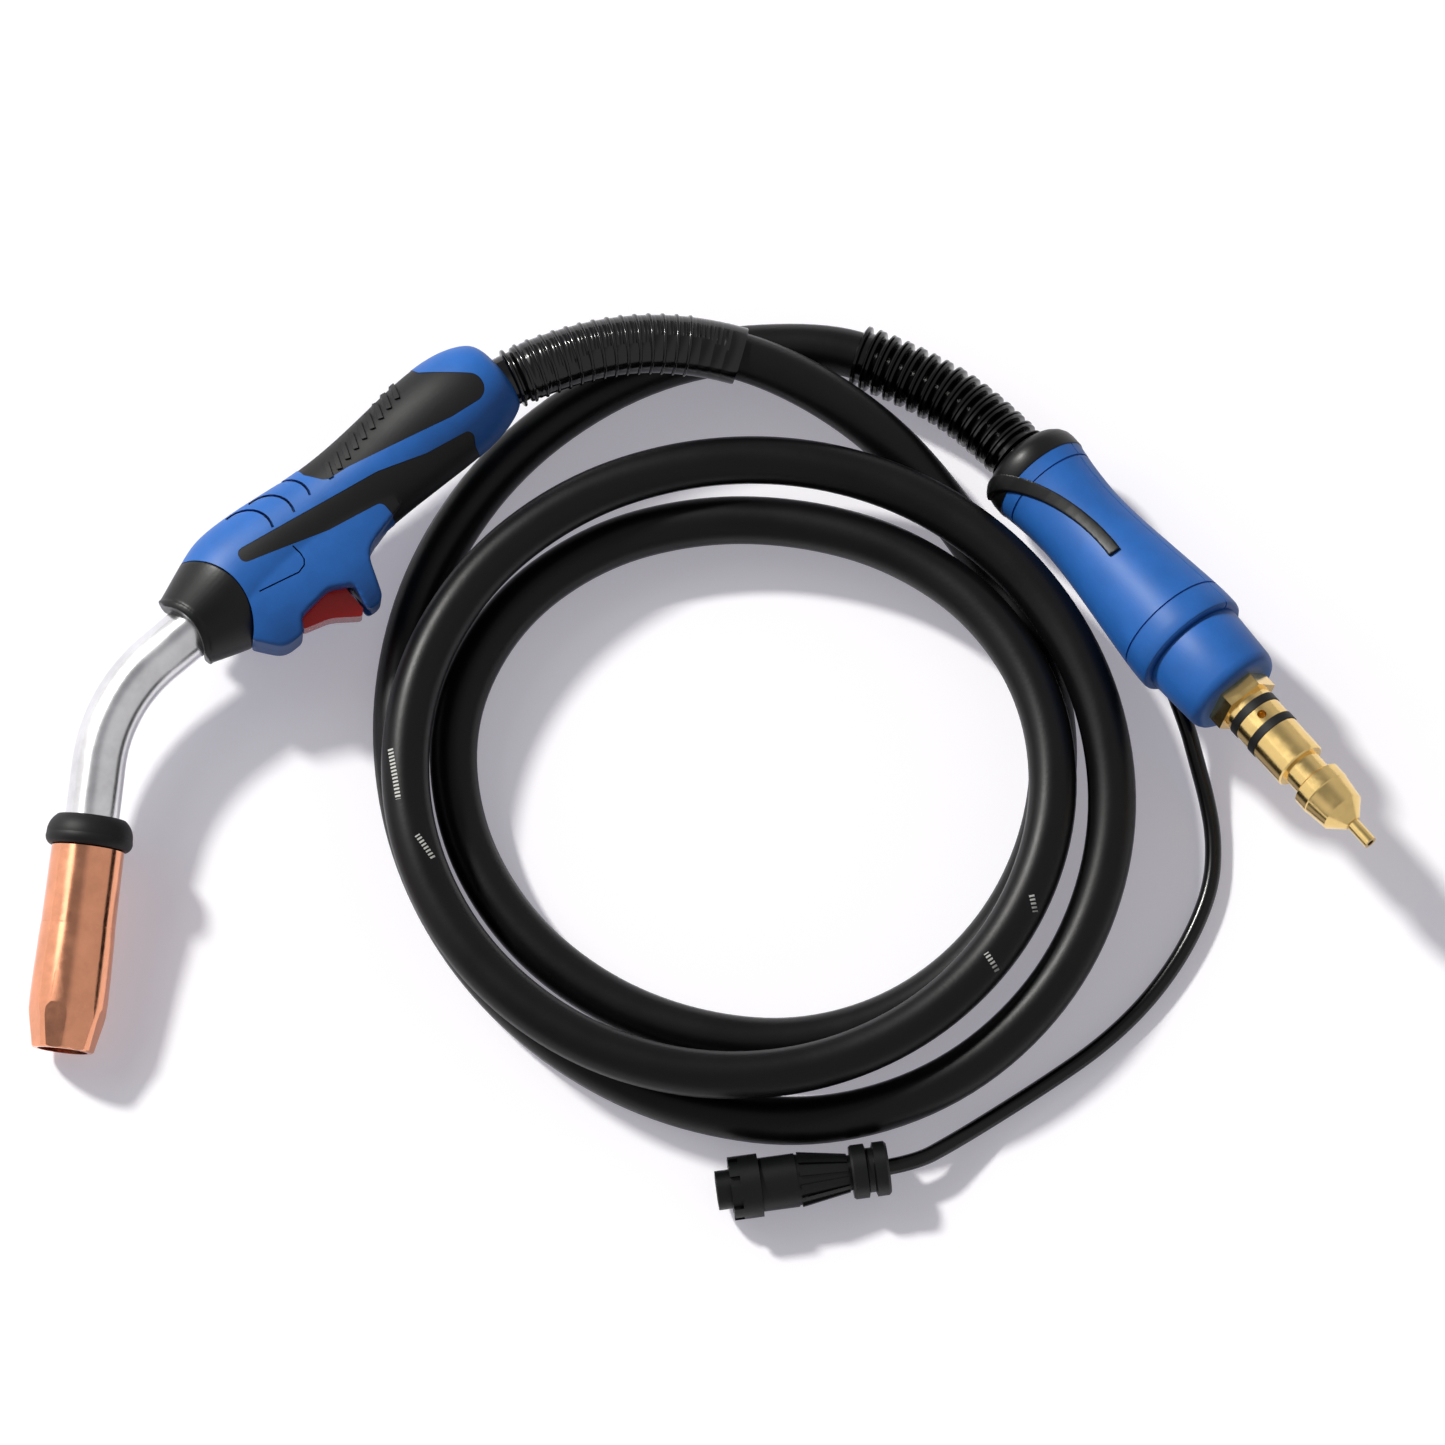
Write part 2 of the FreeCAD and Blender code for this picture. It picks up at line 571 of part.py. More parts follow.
# Machine connector.
cap = turned([(cap_back, cable_r + bore_play), (cap_back, 11.0), (-12.5, 16.0, -4.5, cap_r), (0, cap_r),
              (0, cable_r + bore_play)])
cap = cap.cut(rod(cap_back - 1, -8.4, boot_root_r + 0.03))
tongue_line = Part.Arc(tongue_start, tongue_middle, tongue_end).toShape()
tongue_centre = tongue_line.Curve.Center
tongue_radius = tongue_line.Curve.Radius
band = Part.makeCylinder(tongue_radius + tongue_half, side_wide, tongue_centre)
band = band.cut(Part.makeCylinder(tongue_radius - tongue_half, side_wide, tongue_centre))
band = band.common(Part.makeBox(tongue_end.x - tongue_start.x, 40, side_wide, V(tongue_start.x, -20, 0)))
band = band.fuse(Part.makeCylinder(tongue_half, side_wide, tongue_end))
housing_line = housing_profile + [(housing_front - 0.8, 19.3), (housing_front, 18.6)]
casing = turned([(0, 0)] + housing_line + [(housing_front, 0)])
over = turned([(cap_back, 0), (cap_back, 11.0), (-12.5, 16.6, -4.5, cap_r + tongue_rise)]
              + [(x, r + tongue_rise) for x, r in housing_profile] + [(77, 0)])
band = band.common(over).cut(casing).cut(turned([(cap_back, 0), (cap_back, 10.0), (-12.5, 15.0, -4.5, 17.4),
                                                (0, 17.4), (0, 0)]))
connector_part("rear_cap", cap.fuse(band))
casing = casing.cut(rod(0, cable_seat, cable_r + bore_play)).cut(rod(cable_seat, coupler_front, coupler_r))
casing = casing.cut(rod(coupler_front, housing_front, pin_r))
for x, radius in ((4.5, 17.75), (69, 19.42)):
    casing = casing.cut(ring(x, x + 0.7, radius + 2, radius - 0.5))
lead_start = V(293.5, 9.9, 14.6)
lead_points = [lead_start, V(301.8, -11, 12.6), V(305.6, -24.5, 8.6), V(309.2, -37, 4.6), V(311.4, -50, 2.9),
               V(310.6, -65, 2.8), V(305.2, -80, 2.8), V(297, -94.5, 2.8), V(286, -108.5, 2.8),
               V(272, -121.5, 2.8), V(255, -133.4, 2.8), V(238, -144.6, 3.6), V(224, -154.0, 6.8),
               plug_place.multVec(V(plug_length + 8, 0, 0)), plug_place.multVec(V(plug_length - 8, 0, 0))]
machine_radii = len(radii)
lead_path = route(lead_points)
print("lead", round(lead_path.Length), "mm long, bends", [round(r) for r in radii[machine_radii:]])
keep("control_lead", tube(lead_path, lead_r))
lead_dir = (lead_points[1] - lead_start).normalize()
grommet = Part.makeCone(5.0, 4.2, 11.0, lead_start - lead_dir * 3, lead_dir)
lead_hole = Part.makeCylinder(lead_r + 0.05, 20, lead_start - lead_dir * 5, lead_dir)
keep("lead_grommet", grommet.cut(lead_hole))
lead_room = Part.makeCylinder(lead_r + bore_play, 30, lead_start - lead_dir, lead_dir)
casing = casing.transformed(connector_place.Matrix).cut(grommet).cut(lead_room)
casing = casing.transformed(connector_place.inverse().Matrix)
upper_zone = Part.makeBox(200, 60, 60, V(-50, -30, 0))
upper_zone.rotate(V(0, 0, 0), V(1, 0, 0), -35)
connector_part("connector_shell_upper", casing.common(upper_zone))
connector_part("connector_shell_lower", casing.cut(upper_zone))
sleeve = turned([(housing_front, pin_r), (housing_front, sleeve_r), (sleeve_front - 2, sleeve_r),
                 (sleeve_front - 0.6, sleeve_r - 0.6, sleeve_front, sleeve_r - 2), (sleeve_front, pin_r)])
connector_part("front_sleeve", sleeve)
connector_part("cable_coupler", rod(cable_seat, coupler_front, coupler_r))
pin_line = [(coupler_front, 0), (coupler_front, pin_r)]
for spot in ring_spots:
    pin_line += [(spot - ring_groove_width / 2, pin_r), (spot - ring_groove_width / 2, pin_r - ring_groove_depth),
                 (spot + ring_groove_width / 2, pin_r - ring_groove_depth), (spot + ring_groove_width / 2, pin_r)]
pin_line += [(pin_shank_end - 0.5, pin_r), (pin_shank_end, pin_r - 0.5), (pin_shank_end, pin_neck_r),
             (pin_neck_end, pin_neck_r), (pin_neck_end, pin_r - 0.4), (pin_neck_end + 0.4, pin_r),
             (pin_flange_end, pin_r), (pin_flange_end + 0.4, pin_body_r + 1), (pin_body_end, pin_body_r),
             (pin_cone_end, guide_r + 0.5), (pin_cone_end, 0)]
power_pin = turned(pin_line).cut(rod(pin_shank_end, guide_tip, guide_r + 0.02))
power_pin = power_pin.cut(Part.makeCylinder(gas_port_r, pin_r + 1, V(gas_port_at, 0, 0), V(0, 0, 1)))
connector_part("power_pin", power_pin)
connector_part("pin_lock_nut", prism(6, hex_across, sleeve_front, sleeve_front + hex_thick)
               .cut(rod(sleeve_front - 1, sleeve_front + 20, pin_r)))
seals = [ring(spot - 1.5, spot + 1.5, pin_r + 0.25, pin_r - ring_groove_depth) for spot in ring_spots]
connector_part("pin_seals", Part.makeCompound(seals))
connector_part("wire_guide", ring(pin_shank_end, guide_tip, guide_r, guide_bore))


def plug_part(name, shape):
    keep(name, shape, plug_place)


# Control plug.
insert = rod(0, plug_ring_back, insert_r).fuse(rod(plug_ring_back, insert_length, insert_seat_r))
insert = insert.cut(rod(-1, 6, insert_bore))
contacts = []
for k in range(4):
    angle = math.radians(45 + 90 * k)
    y, z = contact_circle * math.cos(angle), contact_circle * math.sin(angle)
    contacts.append(Part.makeCylinder(contact_r, insert_length - 2, V(1.5, y, z), V(1, 0, 0)))
for contact in contacts:
    insert = insert.cut(contact)
plug_part("plug_insert", insert)
plug_part("plug_contacts", Part.makeCompound(contacts))
body = turned([(plug_ring_back + 3, insert_seat_r), (plug_ring_back + 3, spigot_r),
               (plug_ring_front + 0.2, spigot_r), (plug_ring_front + 0.2, plug_body_r),
               (plug_body_front, plug_body_r), (plug_body_front, 0), (insert_length, 0),
               (insert_length, insert_seat_r)])
plug_part("plug_body", body)
collet = ring(plug_ring_back, plug_ring_front, plug_ring_r, spigot_r + ring_fit)
for k in range(8):
    notch = Part.makeBox(4.2, 3.4, 2.4, V(plug_ring_back - 1, -1.7, plug_ring_r - 1.4))
    notch.rotate(V(0, 0, 0), V(1, 0, 0), 45 * k)
    collet = collet.cut(notch)
plug_part("plug_ring", collet)
shell_tail = turned([(plug_body_front, 0), (plug_body_front, shell_wide_r - 0.9), (shell_front, shell_slim_r - 0.5),
                     (shell_front, 0)])
for k in range(shell_ribs):
    rib = Part.makeBox(shell_front - plug_body_front - 2, 1.6, 20, V(plug_body_front + 1, -0.8, 0))
    rib.rotate(V(0, 0, 0), V(1, 0, 0), 360 / shell_ribs * k)
    envelope = turned([(plug_body_front, 0), (plug_body_front, shell_wide_r), (shell_front, shell_slim_r),
                       (shell_front, 0)])
    shell_tail = shell_tail.fuse(rib.common(envelope))
plug_part("plug_shell", shell_tail)
waist = (clamp_back + plug_length) / 2
clamp = turned([(shell_front, 0), (shell_front, clamp_r - 0.5), (clamp_back + 0.3, clamp_r), (waist - 1.4, clamp_r),
                (waist - 0.9, clamp_waist_r), (waist + 0.9, clamp_waist_r), (waist + 1.4, clamp_r),
                (plug_length - 0.8, clamp_r), (plug_length, clamp_r - 0.8), (plug_length, 0)])
plug_part("plug_clamp", clamp.cut(rod(plug_length - 8, plug_length + 1, lead_r + 0.05)))

os.makedirs("parts", exist_ok=True)
for name, shape in nodes.items():
    shape.exportStep("parts/" + name + ".step")
    box = shape.BoundBox
    print(name, shape.isValid(), len(shape.Solids), [round(v, 1) for v in (box.XMin, box.XMax, box.YMin, box.YMax,
                                                                         box.ZMin, box.ZMax)])
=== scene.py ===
import math
import bpy
from mathutils import Euler, Matrix, Vector


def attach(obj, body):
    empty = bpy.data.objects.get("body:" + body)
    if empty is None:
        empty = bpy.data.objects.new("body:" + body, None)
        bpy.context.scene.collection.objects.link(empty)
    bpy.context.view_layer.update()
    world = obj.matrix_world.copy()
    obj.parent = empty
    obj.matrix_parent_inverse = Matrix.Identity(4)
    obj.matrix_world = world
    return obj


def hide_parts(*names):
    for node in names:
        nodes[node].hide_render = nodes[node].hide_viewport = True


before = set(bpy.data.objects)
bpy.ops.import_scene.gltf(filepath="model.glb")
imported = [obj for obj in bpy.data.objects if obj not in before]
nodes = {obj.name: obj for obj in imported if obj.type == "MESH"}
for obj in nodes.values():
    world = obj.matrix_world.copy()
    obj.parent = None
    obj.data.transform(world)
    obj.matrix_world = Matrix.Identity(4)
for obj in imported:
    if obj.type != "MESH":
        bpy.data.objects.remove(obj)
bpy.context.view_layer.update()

# Main cable: one 16 mm sheathed welding cable from the ferrule in the grip, round three loose turns
# on the floor, to the fitting in the machine connector. Its sheath is extruded rubber, semi-matt,
# printed in white along its length. The points are the ones the cable is laid by.
MM = 0.001
torch_to_origin = Vector((-0.1, 7.6, 0))


def placed(x, y, z, yaw, pitch, roll):
    """Place of a part of the set, as a matrix in millimetres."""
    turn = Euler((math.radians(roll), math.radians(pitch), math.radians(yaw)), "XYZ")
    return Matrix.Translation(Vector((x, y, z)) + torch_to_origin) @ turn.to_matrix().to_4x4()


torch_place = placed(-17.7, 23.6, 29.0, 40.4, -3, 8)
connector_place = placed(254.7, 69.0, 20.3, -51.4, -10, 0)
plug_place = placed(146.3, -171.2, 10.6, 7.9, 0, 0)


def from_floor(*points):
    """Points given from the floor, shifted with the whole set."""
    return [Vector(p) + torch_to_origin for p in points]


torch_end = [torch_place @ Vector(p) for p in ((60, 0, 0), (86, 0, 0), (110, -0.8, 0), (134, -7, 0))]
torch_end += from_floor((111.5, 112.2, 33.2), (134, 113.9, 30), (158.5, 109.6, 26.9), (182.5, 99, 22.5),
                        (204, 84.2, 16.7), (221.5, 66, 8.5))
machine_end = [connector_place @ Vector((1, 0, 0)), connector_place @ Vector((-31.5, 0, 0))]
machine_end += from_floor((206.5, 110.4, 12.2), (181, 119.8, 10.6))

# Radius and height of the laid turns at each quarter turn, from the machine end to the torch end.
coil_centre = Vector((157, -29, 0)) + torch_to_origin
coil_start, coil_end, coil_step = 90, 1125, 22.5
coil_angles = [coil_start + 90 * k for k in range(12)] + [coil_end]
coil_radii = [148.5, 116, 117.5, 119.5, 103, 114, 106.5, 100.3, 85, 98.5, 91, 100.8, 106.5]
coil_slopes = [-30, -21, 31, -22, -3, 2, -7, -10, 6, -15, 16, 10, 10]
coil_heights = [9.7, 8.9, 9.3, 22.8, 25.8, 26.4, 25.4, 26.7, 15.1, 8.7, 8.6, 8.6, 8.4]
coil_rises = [0] + [(coil_heights[k + 1] - coil_heights[k - 1]) / 2 for k in range(1, 12)] + [0]


def between(values, slopes, angle):
    """Value at an angle on a smooth line through values and slopes given at the quarter turns."""
    k = min(int((angle - coil_start) // 90), 11)
    span = coil_angles[k + 1] - coil_angles[k]
    t, reach = (angle - coil_angles[k]) / span, span / 90
    return ((2 * t ** 3 - 3 * t ** 2 + 1) * values[k] + (t ** 3 - 2 * t ** 2 + t) * reach * slopes[k]
            + (3 * t ** 2 - 2 * t ** 3) * values[k + 1] + (t ** 3 - t ** 2) * reach * slopes[k + 1])


# A spline of order three runs inside its points, so they stand out by this share of the radius.
outset = 1 / math.cos(math.radians(coil_step / 2))
coil_points = []
angle = coil_start + coil_step / 2
while angle < coil_end:
    radius = between(coil_radii, coil_slopes, angle) * outset
    turn = math.radians(angle)
    coil_points.append(coil_centre + Vector((radius * math.cos(turn), radius * math.sin(turn),
                                             between(coil_heights, coil_rises, angle))))
    angle += coil_step

cable_points = torch_end + coil_points[::-1] + machine_end[::-1]


def spline(name, points, radius):
    """Round bar along an open spline with the given control points, in millimetres."""
    curve = bpy.data.curves.new(name, "CURVE")
    curve.dimensions = "3D"
    line = curve.splines.new("NURBS")
    line.points.add(len(points) - 1)
    for target, point in zip(line.points, points):
        target.co = (*(point * MM), 1)
    line.order_u = 3
    line.use_endpoint_u = True
    curve.resolution_u = 10
    curve.bevel_depth = radius * MM
    curve.bevel_resolution = 6
    curve.use_fill_caps = True
    piece = bpy.data.objects.new(name, curve)
    bpy.context.collection.objects.link(piece)
    return piece


def linear(colour):
    """Hex colour as seen on a screen, as the shader wants it."""
    parts = [int(colour[k:k + 2], 16) / 255 for k in (1, 3, 5)]
    return [c / 12.92 if c <= 0.04045 else ((c + 0.055) / 1.055) ** 2.4 for c in parts] + [1]


def add_node(tree, kind, inputs=None, **settings):
    """New node with its settings, and with a value or another node's socket on each input."""
    node = tree.nodes.new(kind)
    for name, value in settings.items():
        setattr(node, name, value)
    for name, value in (inputs or {}).items():
        if isinstance(value, bpy.types.NodeSocket):
            tree.links.new(value, node.inputs[name])
        else:
            node.inputs[name].default_value = value
    return node


def maths(tree, operation, *terms):
    """Output of a math node that works on values and sockets."""
    return add_node(tree, "ShaderNodeMath", dict(enumerate(terms)), operation=operation).outputs[0]


def new_finish(name, colour, **values):
    """Material with its shader's own values; returns it with its tree and shader."""
    material = bpy.data.materials.new(name)
    material.use_nodes = True
    tree = material.node_tree
    shader = tree.nodes["Principled BSDF"]
    shader.inputs["Base Color"].default_value = linear(colour)
    for socket, value in values.items():
        shader.inputs[socket.replace("_", " ")].default_value = value
    return material, tree, shader


def mixed(tree, share, first, second):
    """Output of a colour mix between two colours or sockets."""
    mix = add_node(tree, "ShaderNodeMix", {"Factor": share, 6: first, 7: second}, data_type="RGBA")
    return mix.outputs[2]


def grained(tree, shader, size_mm, depth_mm, spread=0.12, patch_mm=18, wear=0.06):
    """Grain as a bump of real size, with a shade and a gloss that vary in patches. Returns both."""
    where = add_node(tree, "ShaderNodeTexCoord").outputs["Object"]
    noise = add_node(tree, "ShaderNodeTexNoise", {"Vector": where, "Scale": 1 / (size_mm * MM),
                                                  "Detail": 3.0})
    bump = add_node(tree, "ShaderNodeBump", {"Height": noise.outputs["Fac"], "Strength": 0.6,
                                             "Distance": depth_mm * MM})
    tree.links.new(bump.outputs["Normal"], shader.inputs["Normal"])
    patches = add_node(tree, "ShaderNodeTexNoise", {"Vector": where, "Scale": 1 / (patch_mm * MM),
                                                    "Detail": 5.0, "Roughness": 0.65}).outputs["Fac"]
    share = add_node(tree, "ShaderNodeMapRange", {"Value": patches, "From Min": 0.3, "From Max": 0.7})
    colour = shader.inputs["Base Color"].default_value[:3]
    darker = [part * (1 - spread) for part in colour] + [1]
    lighter = [min(1, part * (1 + spread)) for part in colour] + [1]
    shade = mixed(tree, share.outputs["Result"], darker, lighter)
    tree.links.new(shade, shader.inputs["Base Color"])
    gloss = shader.inputs["Roughness"].default_value
    dull = add_node(tree, "ShaderNodeMapRange", {"Value": patches, "From Min": 0.35, "From Max": 0.65,
                                                 "To Min": gloss - wear / 2, "To Max": gloss + wear / 2})
    tree.links.new(dull.outputs["Result"], shader.inputs["Roughness"])
    return bump.outputs["Normal"], shade


def dress(material, *names):
    """Gives CAD pieces their material."""
    for name in names:
        piece = nodes[name]
        piece.data.materials.clear()
        piece.data.materials.append(material)


sheath, tree, shader = new_finish("extruded_rubber_sheath", "#08080A", Roughness=0.4, Specular_IOR_Level=0.22)
_, shade = grained(tree, shader, 1.2, 0.05)
where = add_node(tree, "ShaderNodeTexCoord").outputs["Object"]

# The print, as plain bars on the cable's top: middle, heading and length of each run.
prints = [(39.9, -27.9, -80.8, 17.7), (50.4, -52.9, -54.9, 9.7), (250.2, -71.9, -76.5, 6.0),
          (236.5, -92.0, -56, 7.0)]
print_half, bar_pitch, bar_width, print_floor = 0.9, 1.25, 0.62, 12
inked = None
for x, y, heading, length in prints:
    # Mapping brings the run's own middle to the origin, with its length along X.
    local = add_node(tree, "ShaderNodeMapping",
                     {"Vector": where, "Location": (x * MM, y * MM, 0),
                      "Rotation": (0, 0, math.radians(heading))}, vector_type="TEXTURE")
    part = add_node(tree, "ShaderNodeSeparateXYZ", {"Vector": local.outputs["Vector"]}).outputs
    along = maths(tree, "LESS_THAN", maths(tree, "ABSOLUTE", part["X"]), length / 2 * MM)
    across = maths(tree, "LESS_THAN", maths(tree, "ABSOLUTE", part["Y"]), print_half * MM)
    bar = maths(tree, "LESS_THAN", maths(tree, "FLOORED_MODULO", part["X"], bar_pitch * MM), bar_width * MM)
    high = maths(tree, "GREATER_THAN", part["Z"], print_floor * MM)
    mask = maths(tree, "MULTIPLY", maths(tree, "MULTIPLY", maths(tree, "MULTIPLY", along, across), bar), high)
    inked = mask if inked is None else maths(tree, "MAXIMUM", inked, mask)
tree.links.new(mixed(tree, inked, shade, linear("#C4C4C0")), shader.inputs["Base Color"])

cable = spline("main_cable", cable_points, 8.0)
cable.data.materials.append(sheath)
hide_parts("cable_coil", "cable_torch_end", "cable_machine_end")
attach(cable, "torch_set")

# Control lead: a 5.5 mm two-core lead from the connector's grommet to the control plug, lying on
# the floor. Moulded on at the plug, glanded at the grommet.
lead_points = from_floor((293.5, 9.9, 14.6), (301.8, -11, 12.6), (305.6, -24.5, 8.6), (309.2, -37, 4.6),
                         (311.4, -50, 2.9), (310.6, -65, 2.8), (305.2, -80, 2.8), (297, -94.5, 2.8),
                         (286, -108.5, 2.8), (272, -121.5, 2.8), (255, -133.4, 2.8), (238, -144.6, 3.6),
                         (224, -154.0, 6.8))
lead_points += [plug_place @ Vector((65, 0, 0)), plug_place @ Vector((49, 0, 0))]
lead_skin, tree, shader = new_finish("pvc_lead_skin", "#050506", Roughness=0.22, Specular_IOR_Level=0.3)
grained(tree, shader, 0.9, 0.03)
lead = spline("lead", lead_points, 2.75)
lead.data.materials.append(lead_skin)
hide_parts("control_lead")
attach(lead, "torch_set")

# Boots: ribbed bend protectors of glossy soft PVC, pushed over the cable. The torch's has rounded
# ribs and a smooth cuff, the connector's thin sharp ribs.
boot_skin, tree, shader = new_finish("glossy_soft_pvc", "#040405", Roughness=0.16, Specular_IOR_Level=0.5)
grained(tree, shader, 2.5, 0.04)


def loop_out(distance, radius_now, radius_next):
    """Extrudes the open end of a tube along X and brings it to a new radius."""
    bpy.ops.mesh.extrude_region_move(TRANSFORM_OT_translate={"value": (distance * MM, 0, 0)})
    share = radius_next / radius_now
    bpy.ops.transform.resize(value=(1, share, share))


def pick_ends(piece, low=None, high=None):
    """Selects the vertices of a tube beyond given places along X."""
    bpy.ops.object.mode_set(mode="OBJECT")
    for vertex in piece.data.vertices:
        x = vertex.co.x / MM
        vertex.select = (low is not None and x < low) or (high is not None and x > high)
    bpy.ops.object.mode_set(mode="EDIT")


def boot(name, guide_points, start, lead_in, ribs, pitch, rib, corner, crest, root, cuff):
    """Ribbed boot modelled straight along X, then bent along the cable's own line.

    It has a plain lead-in, then ribs of a width at the crest with soft corners, then a cuff given as
    (distance, radius) steps.
    """
    sides, bore = 48, 8.05
    bpy.ops.object.select_all(action="DESELECT")
    bpy.ops.mesh.primitive_circle_add(vertices=sides, radius=root * MM, location=(0, 0, 0),
                                      rotation=(0, math.radians(90), 0))
    piece = bpy.context.object
    piece.name = name
    bpy.ops.object.transform_apply(location=True, rotation=True, scale=True)
    bpy.ops.object.mode_set(mode="EDIT")
    bpy.ops.mesh.select_all(action="SELECT")
    bpy.context.tool_settings.mesh_select_mode = (True, False, False)
    rise = crest - root
    low, high = root + rise * 0.3, crest - rise * 0.15
    steps = [((pitch - rib) / 2 - corner, root), (corner * 0.5, low), (corner * 0.5, high),
             (rib * 0.25, crest), (rib * 0.5, crest), (rib * 0.25, high), (corner * 0.5, low),
             (corner * 0.5, root)]
    now, reach = root, 0
    for distance, radius in steps:
        loop_out(distance, now, radius)
        now, reach = radius, reach + distance
    loop_out(pitch - reach, now, root)
    bpy.ops.object.mode_set(mode="OBJECT")
    rows = piece.modifiers.new("rows", "ARRAY")
    rows.count = ribs
    rows.use_relative_offset = False
    rows.use_constant_offset = True
    rows.constant_offset_displace = (pitch * MM, 0, 0)
    rows.use_merge_vertices = True
    rows.merge_threshold = 0.00002
    bpy.ops.object.modifier_apply(modifier="rows")
    end = ribs * pitch
    bpy.ops.object.mode_set(mode="EDIT")
    pick_ends(piece, high=end - 0.01)
    now = root
    for distance, radius in cuff:
        loop_out(distance, now, radius)
        now = radius
    end += sum(distance for distance, radius in cuff)
    loop_out(0, now, bore)
    pick_ends(piece, low=0.01)
    loop_out(-lead_in, root, root)
    loop_out(0, root, bore)
    bpy.ops.object.mode_set(mode="OBJECT")
    for vertex in piece.data.vertices:
        vertex.select = math.hypot(vertex.co.y, vertex.co.z) / MM < bore + 0.05
    bpy.ops.object.mode_set(mode="EDIT")
    bpy.ops.mesh.bridge_edge_loops(number_cuts=40)
    bpy.ops.mesh.select_all(action="SELECT")
    bpy.ops.transform.translate(value=((start + lead_in) * MM, 0, 0))
    bpy.ops.mesh.normals_make_consistent(inside=False)
    bpy.ops.object.mode_set(mode="OBJECT")
    guide = spline(name + "_guide", guide_points, 0)
    guide.data.resolution_u = 24
    bend = piece.modifiers.new("bend", "CURVE")
    bend.object = guide
    bpy.ops.object.modifier_apply(modifier="bend")
    bpy.data.objects.remove(guide)
    bpy.ops.object.shade_smooth_by_angle(angle=math.radians(50))
    piece.data.materials.append(boot_skin)
    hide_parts(name)
    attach(piece, "torch_set")
    return piece


cuff_groove = [(0.3, 9.45), (0.5, 9.45), (0.3, 9.75)]
torch_cuff = [(0.5, 9.6), (0.3, 9.75), (2.0, 9.75)]
torch_cuff += (cuff_groove + [(1.6, 9.75)]) * 2 + cuff_groove + [(6.2, 9.75), (0.5, 9.6)]
torch_boot = boot("torch_boot", cable_points[:9], start=48, lead_in=13.3, ribs=15, pitch=4.3, rib=1.0,
                  corner=0.5, crest=10.3, root=8.7, cuff=torch_cuff)
connector_cuff = [(0.3, 10.2), (0.3, 10.6), (0.9, 10.6), (0.5, 9.4)]
connector_boot = boot("connector_boot", cable_points[::-1][:8], start=4.5, lead_in=6.8, ribs=14, pitch=4.7,
                      rib=0.7, corner=0.5, crest=10.8, root=8.7, cuff=connector_cuff)

# Handle: two halves of blue glass-filled nylon, moulded with a fine satin grain and held by four
# screws. The grip and the trigger housing flow into one another; two soft pads are let into it.


def only(piece):
    """Selects one piece and makes it the active one."""
    bpy.ops.object.select_all(action="DESELECT")
    piece.select_set(True)
    bpy.context.view_layer.objects.active = piece


def alter(piece, kind, **settings):
    """Adds a modifier and applies it."""
    only(piece)
    step = piece.modifiers.new("step", kind)
    for name, value in settings.items():
        setattr(step, name, value)
    bpy.ops.object.modifier_apply(modifier="step")


def combine(piece, other, operation, keep=False):
    """Boolean with another piece, which goes unless it is kept."""
    alter(piece, "BOOLEAN", operation=operation, object=other, solver="EXACT")
    if not keep:
        bpy.data.objects.remove(other)


def double(piece, name):
    """Copy with a mesh of its own."""
    twin = piece.copy()
    twin.data = piece.data.copy()
    twin.name = name
    bpy.context.collection.objects.link(twin)
    return twin


def soften(piece, voxel, rounds):
    """Even skin of small faces, its edges rounded as a mould leaves them."""
    alter(piece, "REMESH", mode="VOXEL", voxel_size=voxel * MM)
    alter(piece, "SMOOTH", factor=0.5, iterations=rounds)


def swell(piece, amount):
    """Moves a skin outward by an even amount."""
    only(piece)
    bpy.ops.object.mode_set(mode="EDIT")
    bpy.ops.mesh.select_all(action="SELECT")
    bpy.ops.transform.shrink_fatten(value=amount * MM)
    bpy.ops.object.mode_set(mode="OBJECT")


def cage_body(name, stations):
    """Smooth body along X through (x, top, bottom, half width) sections, squarer than ellipses."""
    # Subdivision draws an eight-sided cage in, so it is made larger all round, and more at its corners.
    reach, diagonal = 1.08, 1.099
    bpy.ops.object.select_all(action="DESELECT")
    bpy.ops.mesh.primitive_circle_add(vertices=8, radius=reach * MM, fill_type="NGON",
                                      rotation=(0, math.radians(90), 0))
    piece = bpy.context.object
    piece.name = name
    bpy.ops.object.transform_apply(location=True, rotation=True, scale=True)
    for vertex in piece.data.vertices:
        vertex.select = min(abs(vertex.co.y), abs(vertex.co.z)) > 0.1 * MM
    bpy.ops.object.mode_set(mode="EDIT")
    bpy.ops.transform.resize(value=(1, diagonal, diagonal))
    bpy.ops.mesh.select_all(action="SELECT")
    x, top, bottom, half = stations[0]
    bpy.ops.transform.resize(value=(1, (top - bottom) / 2, half))
    bpy.ops.transform.translate(value=(x * MM, (top + bottom) / 2 * MM, 0))
    for x1, top1, bottom1, half1 in stations[1:]:
        bpy.ops.mesh.extrude_region_move(TRANSFORM_OT_translate={
            "value": ((x1 - x) * MM, (top1 + bottom1 - top - bottom) / 2 * MM, 0)})
        bpy.ops.transform.resize(value=(1, (top1 - bottom1) / (top - bottom), half1 / half))
        x, top, bottom, half = x1, top1, bottom1, half1
    bpy.ops.mesh.select_all(action="SELECT")
    bpy.ops.mesh.normals_make_consistent(inside=False)
    bpy.ops.object.mode_set(mode="OBJECT")
    alter(piece, "SUBSURF", levels=3)
    return piece


